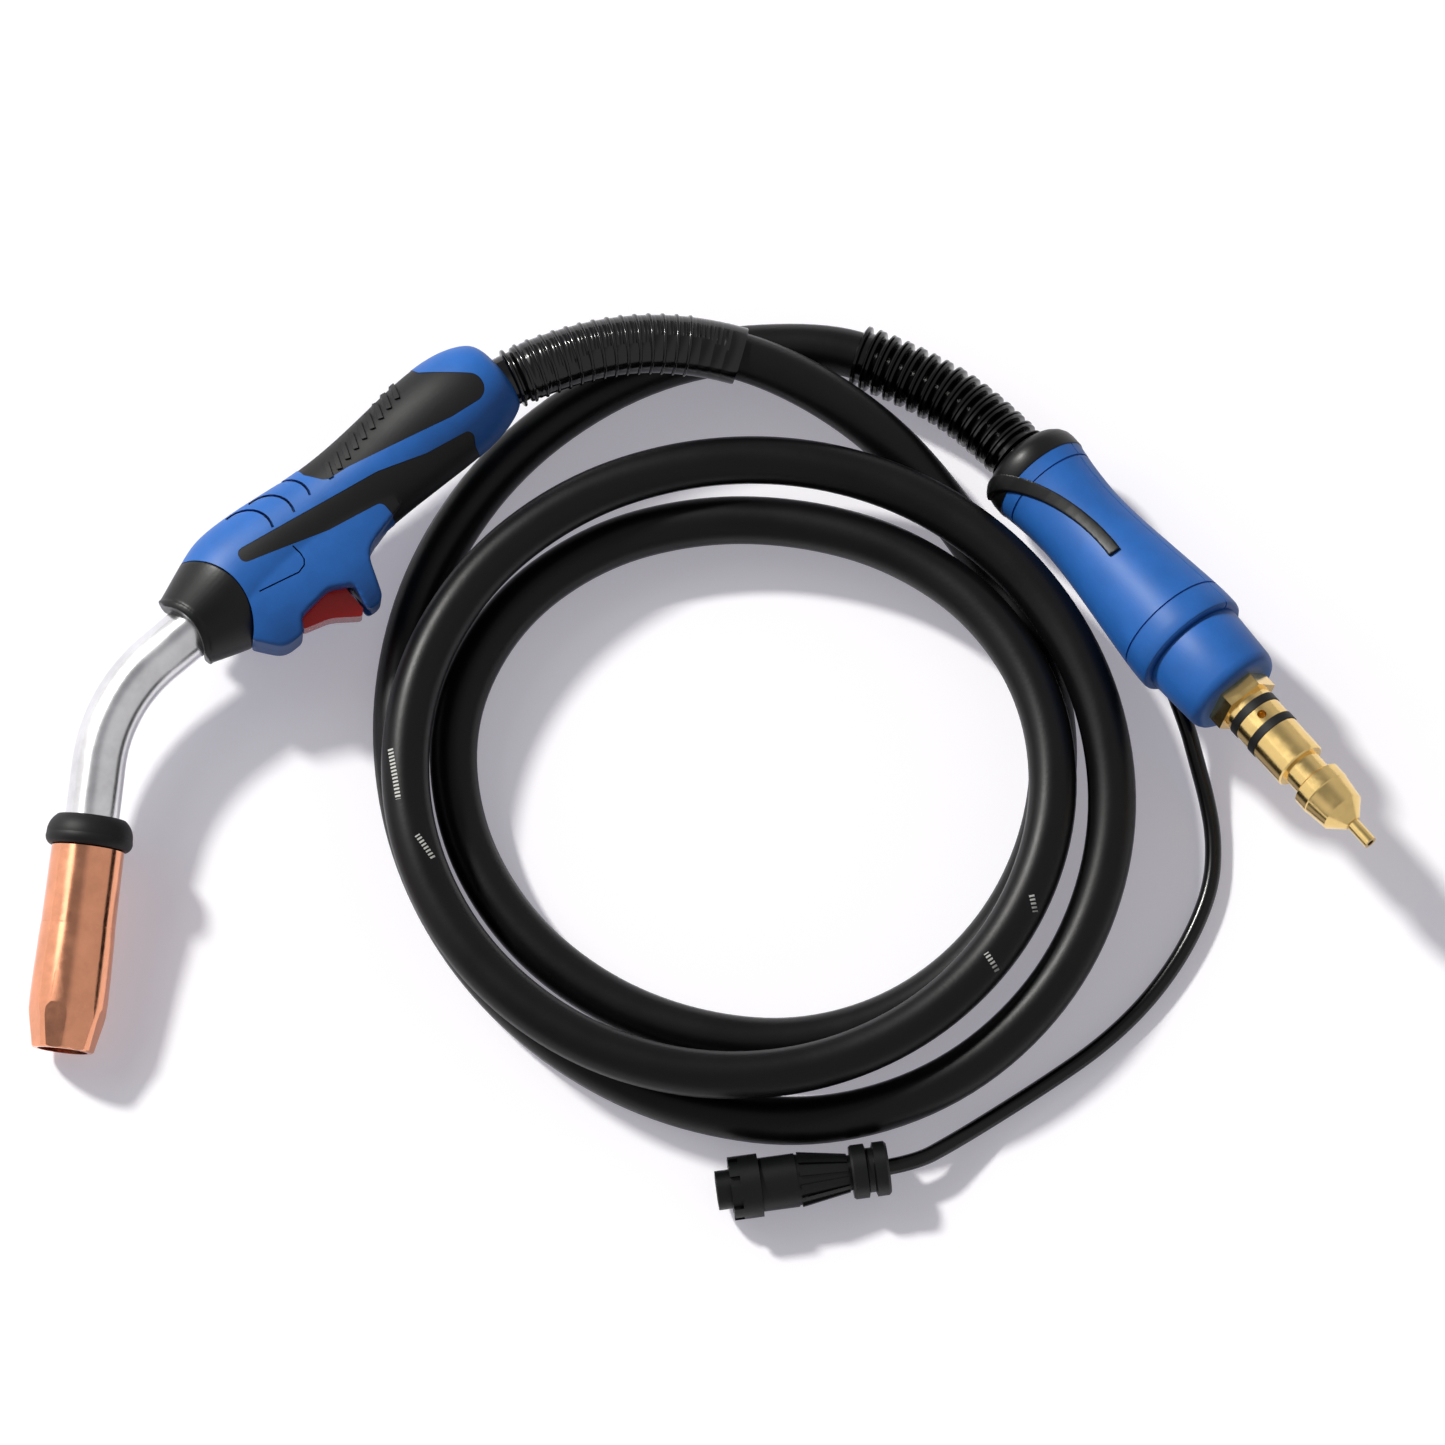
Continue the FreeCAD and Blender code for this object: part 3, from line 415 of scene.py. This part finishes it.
def rounded(corners):
    """Points of a closed outline of (x, y, radius) corners, each turned on an arc."""
    points = []
    arc_steps = 8
    for k, (x, y, radius) in enumerate(corners):
        corner = Vector((x, y))
        back = (Vector(corners[k - 1][:2]) - corner).normalized()
        on = (Vector(corners[(k + 1) % len(corners)][:2]) - corner).normalized()
        if not radius:
            points.append(corner)
            continue
        half_turn = back.angle(on) / 2
        centre = corner + (back + on).normalized() * (radius / math.sin(half_turn))
        first = corner + back * (radius / math.tan(half_turn)) - centre
        last = corner + on * (radius / math.tan(half_turn)) - centre
        sweep = first.angle_signed(last)
        for step in range(arc_steps + 1):
            turn = -sweep * step / arc_steps
            points.append(centre + Vector((first.x * math.cos(turn) - first.y * math.sin(turn),
                                           first.x * math.sin(turn) + first.y * math.cos(turn))))
    return points


def prism(name, corners, half=30):
    """Outline of (x, y, radius) corners pushed out along Z to both sides, as a mesh."""
    curve = bpy.data.curves.new(name, "CURVE")
    curve.dimensions = "2D"
    curve.fill_mode = "BOTH"
    curve.extrude = half * MM
    points = rounded(corners)
    line = curve.splines.new("POLY")
    line.points.add(len(points) - 1)
    for target, point in zip(line.points, points):
        target.co = (point.x * MM, point.y * MM, 0, 1)
    line.use_cyclic_u = True
    piece = bpy.data.objects.new(name, curve)
    bpy.context.collection.objects.link(piece)
    only(piece)
    bpy.ops.object.convert(target="MESH")
    piece = bpy.context.object
    bpy.ops.object.mode_set(mode="EDIT")
    bpy.ops.mesh.select_all(action="SELECT")
    bpy.ops.mesh.remove_doubles(threshold=0.00001)
    bpy.ops.mesh.normals_make_consistent(inside=False)
    bpy.ops.object.mode_set(mode="OBJECT")
    return piece


def ribbon(points, width):
    """Outline of a band of even width along a line of points."""
    sides = ([], [])
    for k, point in enumerate(points):
        before, after = points[max(k - 1, 0)], points[min(k + 1, len(points) - 1)]
        run = Vector((after[0] - before[0], after[1] - before[1])).normalized()
        for side, way in zip(sides, (1, -1)):
            side.append((point[0] - run.y * way * width / 2, point[1] + run.x * way * width / 2, 0))
    return sides[0] + sides[1][::-1]


def rod(name, spot, radius, length, direction, sides=96):
    """Round bar from a spot along a direction, in millimetres."""
    bpy.ops.object.select_all(action="DESELECT")
    middle = (Vector(spot) + Vector(direction) * (length / 2)) * MM
    heading = Vector(direction).to_track_quat("Z", "Y").to_euler()
    bpy.ops.mesh.primitive_cylinder_add(vertices=sides, radius=radius * MM, depth=length * MM,
                                        location=middle, rotation=heading)
    piece = bpy.context.object
    piece.name = name
    bpy.ops.object.transform_apply(location=True, rotation=True, scale=True)
    return piece


def join(first, *others):
    """Makes one piece of several that don't overlap."""
    only(first)
    for other in others:
        other.select_set(True)
    bpy.ops.object.join()
    return first


def settle(piece, place, material, slot, *replaced, body="torch_set", angle=35):
    matrix = place.copy()
    matrix.translation *= MM
    piece.matrix_world = matrix
    only(piece)
    bpy.ops.object.transform_apply(location=True, rotation=True, scale=True)
    bpy.ops.object.shade_smooth_by_angle(angle=math.radians(angle))
    piece.data.materials.clear()
    piece.data.materials.append(material)
    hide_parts(*replaced)
    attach(piece, body)


blue, tree, shader = new_finish("blue_moulded_nylon", "#2563B2", Roughness=0.48, Specular_IOR_Level=0.35)
grained(tree, shader, 0.8, 0.03)
soft, tree, shader = new_finish("soft_black_rubber", "#0B0B0D", Roughness=0.55, Specular_IOR_Level=0.3)
grained(tree, shader, 0.7, 0.05)

grip_stations = [(-17, 12.4, -11.1, 11.7), (0, 18.5, -17.2, 17.4), (8, 21.0, -18.3, 18.5),
                 (27, 19.6, -17.0, 17.6), (48, 16.3, -15.5, 16.0), (70, 16.9, -15.1, 15.7),
                 (93, 19.0, -16.2, 16.7), (108, 18.0, -15.9, 16.5), (117.5, 14.3, -12.9, 14.2),
                 (121.5, 9.9, -10.2, 10.4)]
keel_stations = [(-8, 22, -30, 14.4), (8, 22, -33, 17.6), (27, 20, -38, 17.3), (46, 18, -38, 15.8),
                 (60, 14, -32, 13.9), (74, 10, -22, 11.0)]
housing_corners = [(1, -2, 0), (-1.2, -17, 2), (5.5, -25.9, 7), (13.4, -26, 2.5), (16.6, -21.2, 2),
                   (29, -20.0, 7), (36.4, -24.3, 1.5), (34.7, -33.6, 1.6), (41.2, -34.4, 4),
                   (47, -18.2, 9), (66, -13.8, 0), (66, -2, 0)]
body = cage_body("handle", grip_stations)
housing = cage_body("housing", keel_stations)
combine(housing, prism("outline", housing_corners), "INTERSECT")
combine(body, housing, "UNION")
soften(body, voxel=0.55, rounds=14)

# Raised ribs along the spine pad, slanted one after another.
ribs = []
for k in range(9):
    x, y = 54.5 + 4.3 * k, 10.4 + 0.86 * k
    ribs.append(prism("rib", ribbon([(x - 1.3, y - 3.0), (x + 1.3, y + 3.0)], width=1.7)))
ribs = join(*ribs)
raised = double(body, "raised")
swell(raised, 0.6)
combine(ribs, raised, "INTERSECT")

# Pads: the body's own skin inside an outline, let in a little below the nylon around it.
spine_corners = [(47.3, 30, 0), (47.6, 14.5, 2), (51.5, 8.0, 4), (60, 6.8, 8), (97, -2.6, 12),
                 (112.6, -4.6, 5), (112.8, 3.5, 5), (98.8, 16.6, 2), (96.5, 30, 0)]
belly_corners = [(12.2, 4.1, 2.4), (13.4, 8.9, 2.2), (66.3, -0.6, 10), (83, -6.4, 10), (100.6, -9.7, 2.2),
                 (97.5, -14.5, 3), (97, -30, 0), (61.5, -30, 0), (61.2, -9.2, 2.5), (41.5, -5.4, 10)]
pad_depth = 0.15
cuts = []
for name, corners in (("spine_pad", spine_corners), ("belly_pad", belly_corners)):
    pad = double(body, name)
    swell(pad, -pad_depth)
    if name == "spine_pad":
        combine(pad, ribs, "UNION")
    region = prism(name + "_region", corners)
    combine(pad, region, "INTERSECT", keep=True)
    cuts.append(region)
    settle(pad, torch_place, soft, "soft_black", name)

# Trigger pocket, the collar's round seat, four screw wells and the cable's bore. The collar ends a
# little short of its seat.
up, through = (0, 0, 1), 30
seat_x, collar_x, seat_r, seat_y = 7.2, 7.1, 23, 0.7
pocket_corners = [(13.9, -11.3, 0), (35.1, -11.3, 0), (36.6, -32, 0), (36.6, -50, 0), (13.9, -50, 0)]
cuts.append(prism("pocket", pocket_corners, half=7.4))
cuts.append(rod("collar_seat", (seat_x - seat_r, seat_y, -through), seat_r, 2 * through, up))
for x, y, seat in ((9, 13.5, -11.5), (8, -20.6, -8.0), (41.2, -27.5, -8.0), (104.5, -12.4, -10.5)):
    cuts.append(rod("well", (x, y, seat), 2.8, through, (0, 0, -1), sides=32))
cuts.append(rod("rear_bore", (70, -0.1, 0), 8.75, 80, (1, 0, 0)))
combine(body, join(*cuts), "DIFFERENCE")

# Thumb ridges over the collar, and the fine lines beside the trigger and round the rear end.
line_depth = 0.6
panel_line = [(10.6, -6.4), (24.7, -9.9), (27.6, -9.2), (28.9, -7.6), (29.2, -5.4), (28.8, -1.8)]
rear_line = [(118.4, 10.6), (119.4, 8.2), (119.7, 5.8), (119.8, 2), (119.6, -1.6)]
lines = [prism("fine_line", ribbon(points, width=0.5)) for points in (panel_line, rear_line)]
for x, y, radius in ((19.5, 11.0, 9.2), (28.4, 10.3, 9.0), (36.6, 11.2, 8.5)):
    turns = [math.radians(-25 + 12 * k) for k in range(11)]
    arc = [(x + radius * math.cos(turn), y + radius * math.sin(turn)) for turn in turns]
    lines.append(prism("ridge", ribbon(arc, width=0.9)))
lines = join(*lines)
core = double(body, "core")
swell(core, -line_depth)
combine(lines, core, "DIFFERENCE")
combine(body, lines, "DIFFERENCE")
switch_room = [(20.9, -12, 0), (33.1, -12, 0), (33.1, -8.3, 0), (20.9, -8.3, 0)]
combine(body, prism("switch_room", switch_room, half=3.3), "DIFFERENCE")


def halve(piece, turn, gap, upper):
    """Keeps one side of a plane through the X axis, which is turned about it."""
    only(piece)
    normal = Vector((0, -math.sin(math.radians(turn)), math.cos(math.radians(turn))))
    side = 1 if upper else -1
    bpy.ops.object.mode_set(mode="EDIT")
    bpy.ops.mesh.select_all(action="SELECT")
    bpy.ops.mesh.bisect(plane_co=normal * (gap / 2 * side * MM), plane_no=normal, use_fill=True,
                        clear_inner=upper, clear_outer=not upper)
    bpy.ops.object.mode_set(mode="OBJECT")


for name, upper in (("handle_upper", True), ("handle_lower", False)):
    half = double(body, name)
    halve(half, turn=0, gap=0.16, upper=upper)
    settle(half, torch_place, blue, "blue_plastic", name)
bpy.data.objects.remove(body)

# Collar: a black nylon cone that closes the handle's front round the neck, its mouth scooped out at
# both sides and rolled.
black, tree, shader = new_finish("black_moulded_nylon", "#08090A", Roughness=0.4, Specular_IOR_Level=0.28)
grained(tree, shader, 0.8, 0.03)
collar = cage_body("front_collar", [(-36, 5.7, -4.4, 5.0), (-17, 12.5, -11.2, 11.8), (0, 18.5, -17.2, 17.4),
                                    (8, 21, -18.3, 18.5), (24, 19.8, -17.2, 17.7)])
combine(collar, rod("seat", (collar_x - seat_r, seat_y, -through), seat_r, 2 * through, up), "INTERSECT")
scoop_spot, scoop_r, lip_width, lip_rise = (-30.9, 0.65, -through), 18.4, 2.2, 0.45
lip = double(collar, "lip")
swell(lip, lip_rise)
combine(lip, rod("band", scoop_spot, scoop_r + lip_width, 2 * through, up), "INTERSECT")
combine(collar, lip, "UNION")
combine(collar, join(rod("front", (-60, 0, 0), 40, 44.2, (1, 0, 0)),
                     rod("mouth", (-17.5, 0, 0), 10.1, 7.2, (1, 0, 0)),
                     rod("bore", (-10.5, 0, 0), 9.1, 30, (1, 0, 0))), "DIFFERENCE")
combine(collar, rod("scoop", scoop_spot, scoop_r, 2 * through, up), "DIFFERENCE")
soften(collar, voxel=0.33, rounds=14)
settle(collar, torch_place, black, "black_plastic", "front_collar")

# Machine connector: a waisted blue housing in two halves, a black cap with a tongue behind it and a
# blue sleeve in front, all moulded nylon.


def turned(name, profile, sides=128, edge=0.3):
    """Ring turned about X through (x, radius) points, out along one side and back along the bore."""
    bpy.ops.object.select_all(action="DESELECT")
    (x, now), *rest = profile
    bpy.ops.mesh.primitive_circle_add(vertices=sides, radius=now * MM, location=(x * MM, 0, 0),
                                      rotation=(0, math.radians(90), 0))
    piece = bpy.context.object
    piece.name = name
    bpy.ops.object.transform_apply(location=True, rotation=True, scale=True)
    bpy.ops.object.mode_set(mode="EDIT")
    bpy.ops.mesh.select_all(action="SELECT")
    bpy.context.tool_settings.mesh_select_mode = (True, False, False)
    for x1, radius in rest + [profile[0]]:
        loop_out(x1 - x, now, radius)
        x, now = x1, radius
    bpy.ops.mesh.select_all(action="SELECT")
    bpy.ops.mesh.remove_doubles(threshold=0.00001)
    bpy.ops.mesh.normals_make_consistent(inside=False)
    bpy.ops.object.mode_set(mode="OBJECT")
    if edge:
        alter(piece, "BEVEL", width=edge * MM, segments=2, limit_method="ANGLE", angle_limit=math.radians(38))
    return piece


bore_r, groove_rs = 9.2, (16.2, 19.45)
waist = [(0, 17.3), (2, 17.0), (4.5, 16.66), (4.5, 16.2), (5.2, 16.2), (5.2, 16.57), (8, 16.2), (12, 15.85),
         (16, 15.6), (20, 15.45), (24, 15.5), (28, 15.68), (32, 15.95), (36, 16.3), (40, 16.72), (44, 17.15),
         (48, 17.6), (52, 18.05), (56, 18.5), (60, 18.95), (64, 19.4), (69, 19.9), (69, 19.45), (69.7, 19.45),
         (69.7, 19.96), (72, 20.15), (75, 20.3), (78.2, 20.35), (79.2, 20.1), (79.8, 19.5), (80, 18.5)]
for name, upper in (("connector_shell_upper", True), ("connector_shell_lower", False)):
    shell = turned(name, waist + [(80, bore_r), (0, bore_r)], edge=0)
    halve(shell, turn=38, gap=0.55, upper=upper)
    settle(shell, connector_place, blue, "blue_plastic", name, angle=30)

# The tongue is a curved band that stands proud of the cap and of the housing's back half.
cap_form = [(-10.5, 11.1), (-10.2, 13.0), (-9.2, 14.9), (-7.7, 16.4), (-6.0, 17.3), (-4, 17.6), (0, 17.6)]
cap = turned("rear_cap", cap_form + [(0, 8.9), (-10.5, 8.9)])
turns = [math.radians(131 - 47.6 * k / 14) for k in range(15)]
tongue_r, tongue_rise, tongue_end = 67.9, 1.1, 69
arc = [(35.2 + tongue_r * math.cos(turn), -69.3 + tongue_r * math.sin(turn)) for turn in turns]
tongue = prism("tongue", ribbon(arc, width=4.4), half=through)
tongue.location.z = through * MM
proud = [(x, r + tongue_rise) for x, r in cap_form[:-1] + waist if x <= tongue_end and r not in groove_rs]
combine(tongue, turned("over", proud + [(tongue_end, 5), (-10.5, 5)], edge=0), "INTERSECT")
soften(tongue, voxel=0.3, rounds=5)
cap = join(cap, tongue)
settle(cap, connector_place, black, "black_plastic", "rear_cap")

sleeve = turned("front_sleeve", [(80.1, 17.9), (99.0, 17.0), (100.6, 16.6), (101.9, 15.8), (102.6, 14.8),
                                 (102.8, 13.6), (102.8, bore_r), (80.1, bore_r)])
settle(sleeve, connector_place, blue, "blue_plastic", "front_sleeve")

# Ring at the nozzle's root and the pin's seals: the soft black rubber of the pads, matt, each
# stretched into its groove.
dress(soft, "nozzle_boot_ring", "pin_seals")

# Control plug, grommet and switch: the black nylon of the collar. The plug's ring is screwed on the
# panel socket, its shell and clamp hold the lead.
dress(black, "lead_grommet", "plug_body", "plug_ring", "plug_shell", "plug_clamp", "trigger_switch",
      "plug_insert")

# Trigger and plunger: red ABS, moulded glossy. The trigger hangs on a steel pin and pushes the
# switch's plunger.
red, tree, shader = new_finish("red_glossy_abs", "#EE1208", Roughness=0.25)
grained(tree, shader, 1.2, 0.02)
dress(red, "trigger", "switch_plunger")

# Neck: an aluminium tube, bent and satin finished, clamped in the handle by the brass block.
satin, tree, shader = new_finish("satin_aluminium", "#E6E6E8", Metallic=1.0, Roughness=0.24)
grained(tree, shader, 0.5, 0.01)
dress(satin, "neck_jacket")

# Nozzle: polished copper turned to a slight swell, with eight shallow flats that lean in at the
# tip. It is pushed over its bush. The contact tip and diffuser inside are of the same copper.
copper, tree, shader = new_finish("polished_copper", "#EFA681", Metallic=1.0, Roughness=0.17)
grained(tree, shader, 9.0, 0.10, spread=0.10, patch_mm=9, wear=0.12)
dress(copper, "contact_tip", "gas_diffuser")
nozzle_form = [(3.1, 11.7), (3.5, 12.1), (29.2, 12.35), (29.2, 12.15), (29.6, 12.15), (29.6, 12.42),
               (34, 12.6), (45, 12.9), (54, 13.0), (58, 12.85), (60.5, 12.45), (70.2, 10.35),
               (70.7, 9.9), (70.8, 9.5), (70.8, 8.3), (66.8, 8.3), (49.5, 10.9), (3.1, 10.9)]
nozzle = turned("gas_nozzle", nozzle_form, edge=0)
flat_form = [(0, 14.5), (29.5, 14.5), (30, 13.85), (56, 13.85), (57.5, 13.45), (72, 10.45), (72, 5), (0, 5)]
flats = turned("flats", flat_form, sides=8, edge=0)
flats.rotation_euler.x = math.radians(-5.5)
combine(nozzle, flats, "INTERSECT")
alter(nozzle, "BEVEL", width=0.18 * MM, segments=2, limit_method="ANGLE", angle_limit=math.radians(9))
nozzle_seat, neck_turn = (-83.8, -31.6, 0), 42.8
nozzle_place = (torch_place @ Matrix.Translation(nozzle_seat)
                @ Matrix.Rotation(math.radians(180 + neck_turn), 4, "Z"))
settle(nozzle, nozzle_place, copper, "copper", "gas_nozzle", body="nozzle_body", angle=8)

# Insulating sleeve in the neck and bush in the nozzle: wound tan laminate, turned and pressed on.
tan, tree, shader = new_finish("tan_laminate", "#8C7854", Roughness=0.6)
grained(tree, shader, 0.8, 0.05)
dress(tan, "neck_sleeve", "nozzle_bush")

# Power pin, nut, wire guide and the fittings inside: bright brass turned on a lathe, screwed and
# crimped to the cable. The lathe's rings run round the connector's own axis.
brass, tree, shader = new_finish("turned_brass", "#EBCB86", Metallic=1.0, Roughness=0.2)
grain, _ = grained(tree, shader, 1.0, 0.006, spread=0.08, patch_mm=7, wear=0.08)
# A wave texture of scale 1 has its bands a twentieth of a full turn apart.
mark_pitch, wave_pitch = 0.6909, math.tau / 20
where = add_node(tree, "ShaderNodeTexCoord").outputs["Object"]
local = add_node(tree, "ShaderNodeMapping", {"Vector": where, "Rotation": connector_place.to_euler()[:]},
                 vector_type="TEXTURE")
marks = add_node(tree, "ShaderNodeTexWave", {"Vector": local.outputs["Vector"], "Distortion": 1.5,
                                             "Detail": 2.0, "Scale": wave_pitch / (mark_pitch * MM)})
rings = add_node(tree, "ShaderNodeBump", {"Height": marks.outputs["Fac"], "Strength": 0.35,
                                          "Distance": 0.004 * MM, "Normal": grain})
tree.links.new(rings.outputs["Normal"], shader.inputs["Normal"])
dress(brass, "power_pin", "pin_lock_nut", "wire_guide", "plug_contacts", "neck_core", "neck_block",
      "cable_lug", "cable_ferrule", "cable_coupler")

# Handle screws, trigger pin and wire liner: plain zinc-coated steel, rolled or wound.
steel, tree, shader = new_finish("plain_steel", "#9A9A9E", Metallic=1.0, Roughness=0.3)
grained(tree, shader, 0.6, 0.01)
dress(steel, "handle_screws", "trigger_pin", "wire_liner")

# Floor: white paper. It shows white to the camera and in reflections, throws less light back on the
# torch than it shows, and keeps its lavender shadows.
bpy.ops.object.select_all(action="DESELECT")
bpy.ops.mesh.primitive_plane_add(size=12, location=(0, 0, -0.0002))
floor = bpy.context.object
floor.name = "paper_floor"
paper, tree, shader = new_finish("white_paper", "#E4E4E6", Roughness=0.9, Specular_IOR_Level=0.1)


def directly_seen(tree):
    """One for what the camera or a reflection sees, none for the light that is thrown back."""
    seen = add_node(tree, "ShaderNodeLightPath").outputs
    return maths(tree, "MAXIMUM", seen["Is Camera Ray"], seen["Is Glossy Ray"])


shown = directly_seen(tree)
tree.links.new(mixed(tree, shown, linear("#8A8A8E"), linear("#E4E4E6")), shader.inputs["Base Color"])
shader.inputs["Emission Color"].default_value = linear("#F6F2FF")
tree.links.new(maths(tree, "MULTIPLY", shown, 0.31), shader.inputs["Emission Strength"])
floor.data.materials.append(paper)

# Room: dim grey with a white side to the left, which gives the neck and the pin their long
# highlights with sharp edges. The stops are shares of the way towards that side.
white_side = (-0.93, 0.27, 0.25)
stops = [(0.0, (0.60, 0.59, 0.60, 1)), (0.30, (0.30, 0.30, 0.315, 1)), (0.68, (0.26, 0.26, 0.273, 1)),
         (0.80, (1.0, 0.98, 0.98, 1))]
world = bpy.data.worlds.new("studio")
bpy.context.scene.world = world
world.use_nodes = True
tree = world.node_tree
sky = tree.nodes["Background"]
where = add_node(tree, "ShaderNodeTexCoord").outputs["Generated"]
toward = add_node(tree, "ShaderNodeVectorMath", {0: where, 1: white_side}, operation="DOT_PRODUCT")
room = add_node(tree, "ShaderNodeValToRGB", {"Fac": toward.outputs["Value"]})
ramp = room.color_ramp.elements
ramp[0].position, ramp[0].color = stops[0]
ramp[1].position, ramp[1].color = stops[-1]
for position, shade in stops[1:-1]:
    ramp.new(position).color = shade
tree.links.new(room.outputs["Color"], sky.inputs["Color"])
tree.links.new(maths(tree, "MULTIPLY_ADD", directly_seen(tree), 0.6, 0.4), sky.inputs["Strength"])


def put_lamp(name, kind, energy, direction, spot=(0, 0, 0), **settings):
    """Lamp that shines from a direction."""
    lamp = bpy.data.lights.new(name, kind)
    lamp.energy = energy
    for setting, value in settings.items():
        setattr(lamp, setting, value)
    piece = bpy.data.objects.new(name, lamp)
    bpy.context.collection.objects.link(piece)
    piece.location = spot
    piece.rotation_euler = Vector(direction).to_track_quat("Z", "Y").to_euler()


# Lamps: a low sun from the upper left, as the long shadows show, and a weak soft box beside it.
put_lamp("window_sun", "SUN", 3.4, (-0.62, 0.50, 0.66), angle=math.radians(6), color=(1.0, 0.99, 0.95))
box_spot = (-0.9, 0.55, 1.1)
put_lamp("soft_box", "AREA", 3, box_spot, spot=box_spot, shape="RECTANGLE", size=1.1, size_y=0.5)

# Camera: far off with a long lens, 75 degrees up. At the target it sees this width.
target, seen_width = Vector((148.1, -1.54, 0)) * MM, 0.4817
distance, elevation, sensor = 3.5, math.radians(75), 36
camera_data = bpy.data.cameras.new("camera")
camera_data.sensor_width = sensor
camera_data.lens = sensor * distance / seen_width
camera_data.clip_end = 50
camera = bpy.data.objects.new("camera", camera_data)
bpy.context.collection.objects.link(camera)
camera.location = target + distance * Vector((0, -math.cos(elevation), math.sin(elevation)))
camera.rotation_euler = (math.radians(90) - elevation, 0, 0)
bpy.context.scene.camera = camera
bpy.context.scene.view_settings.view_transform = "Standard"
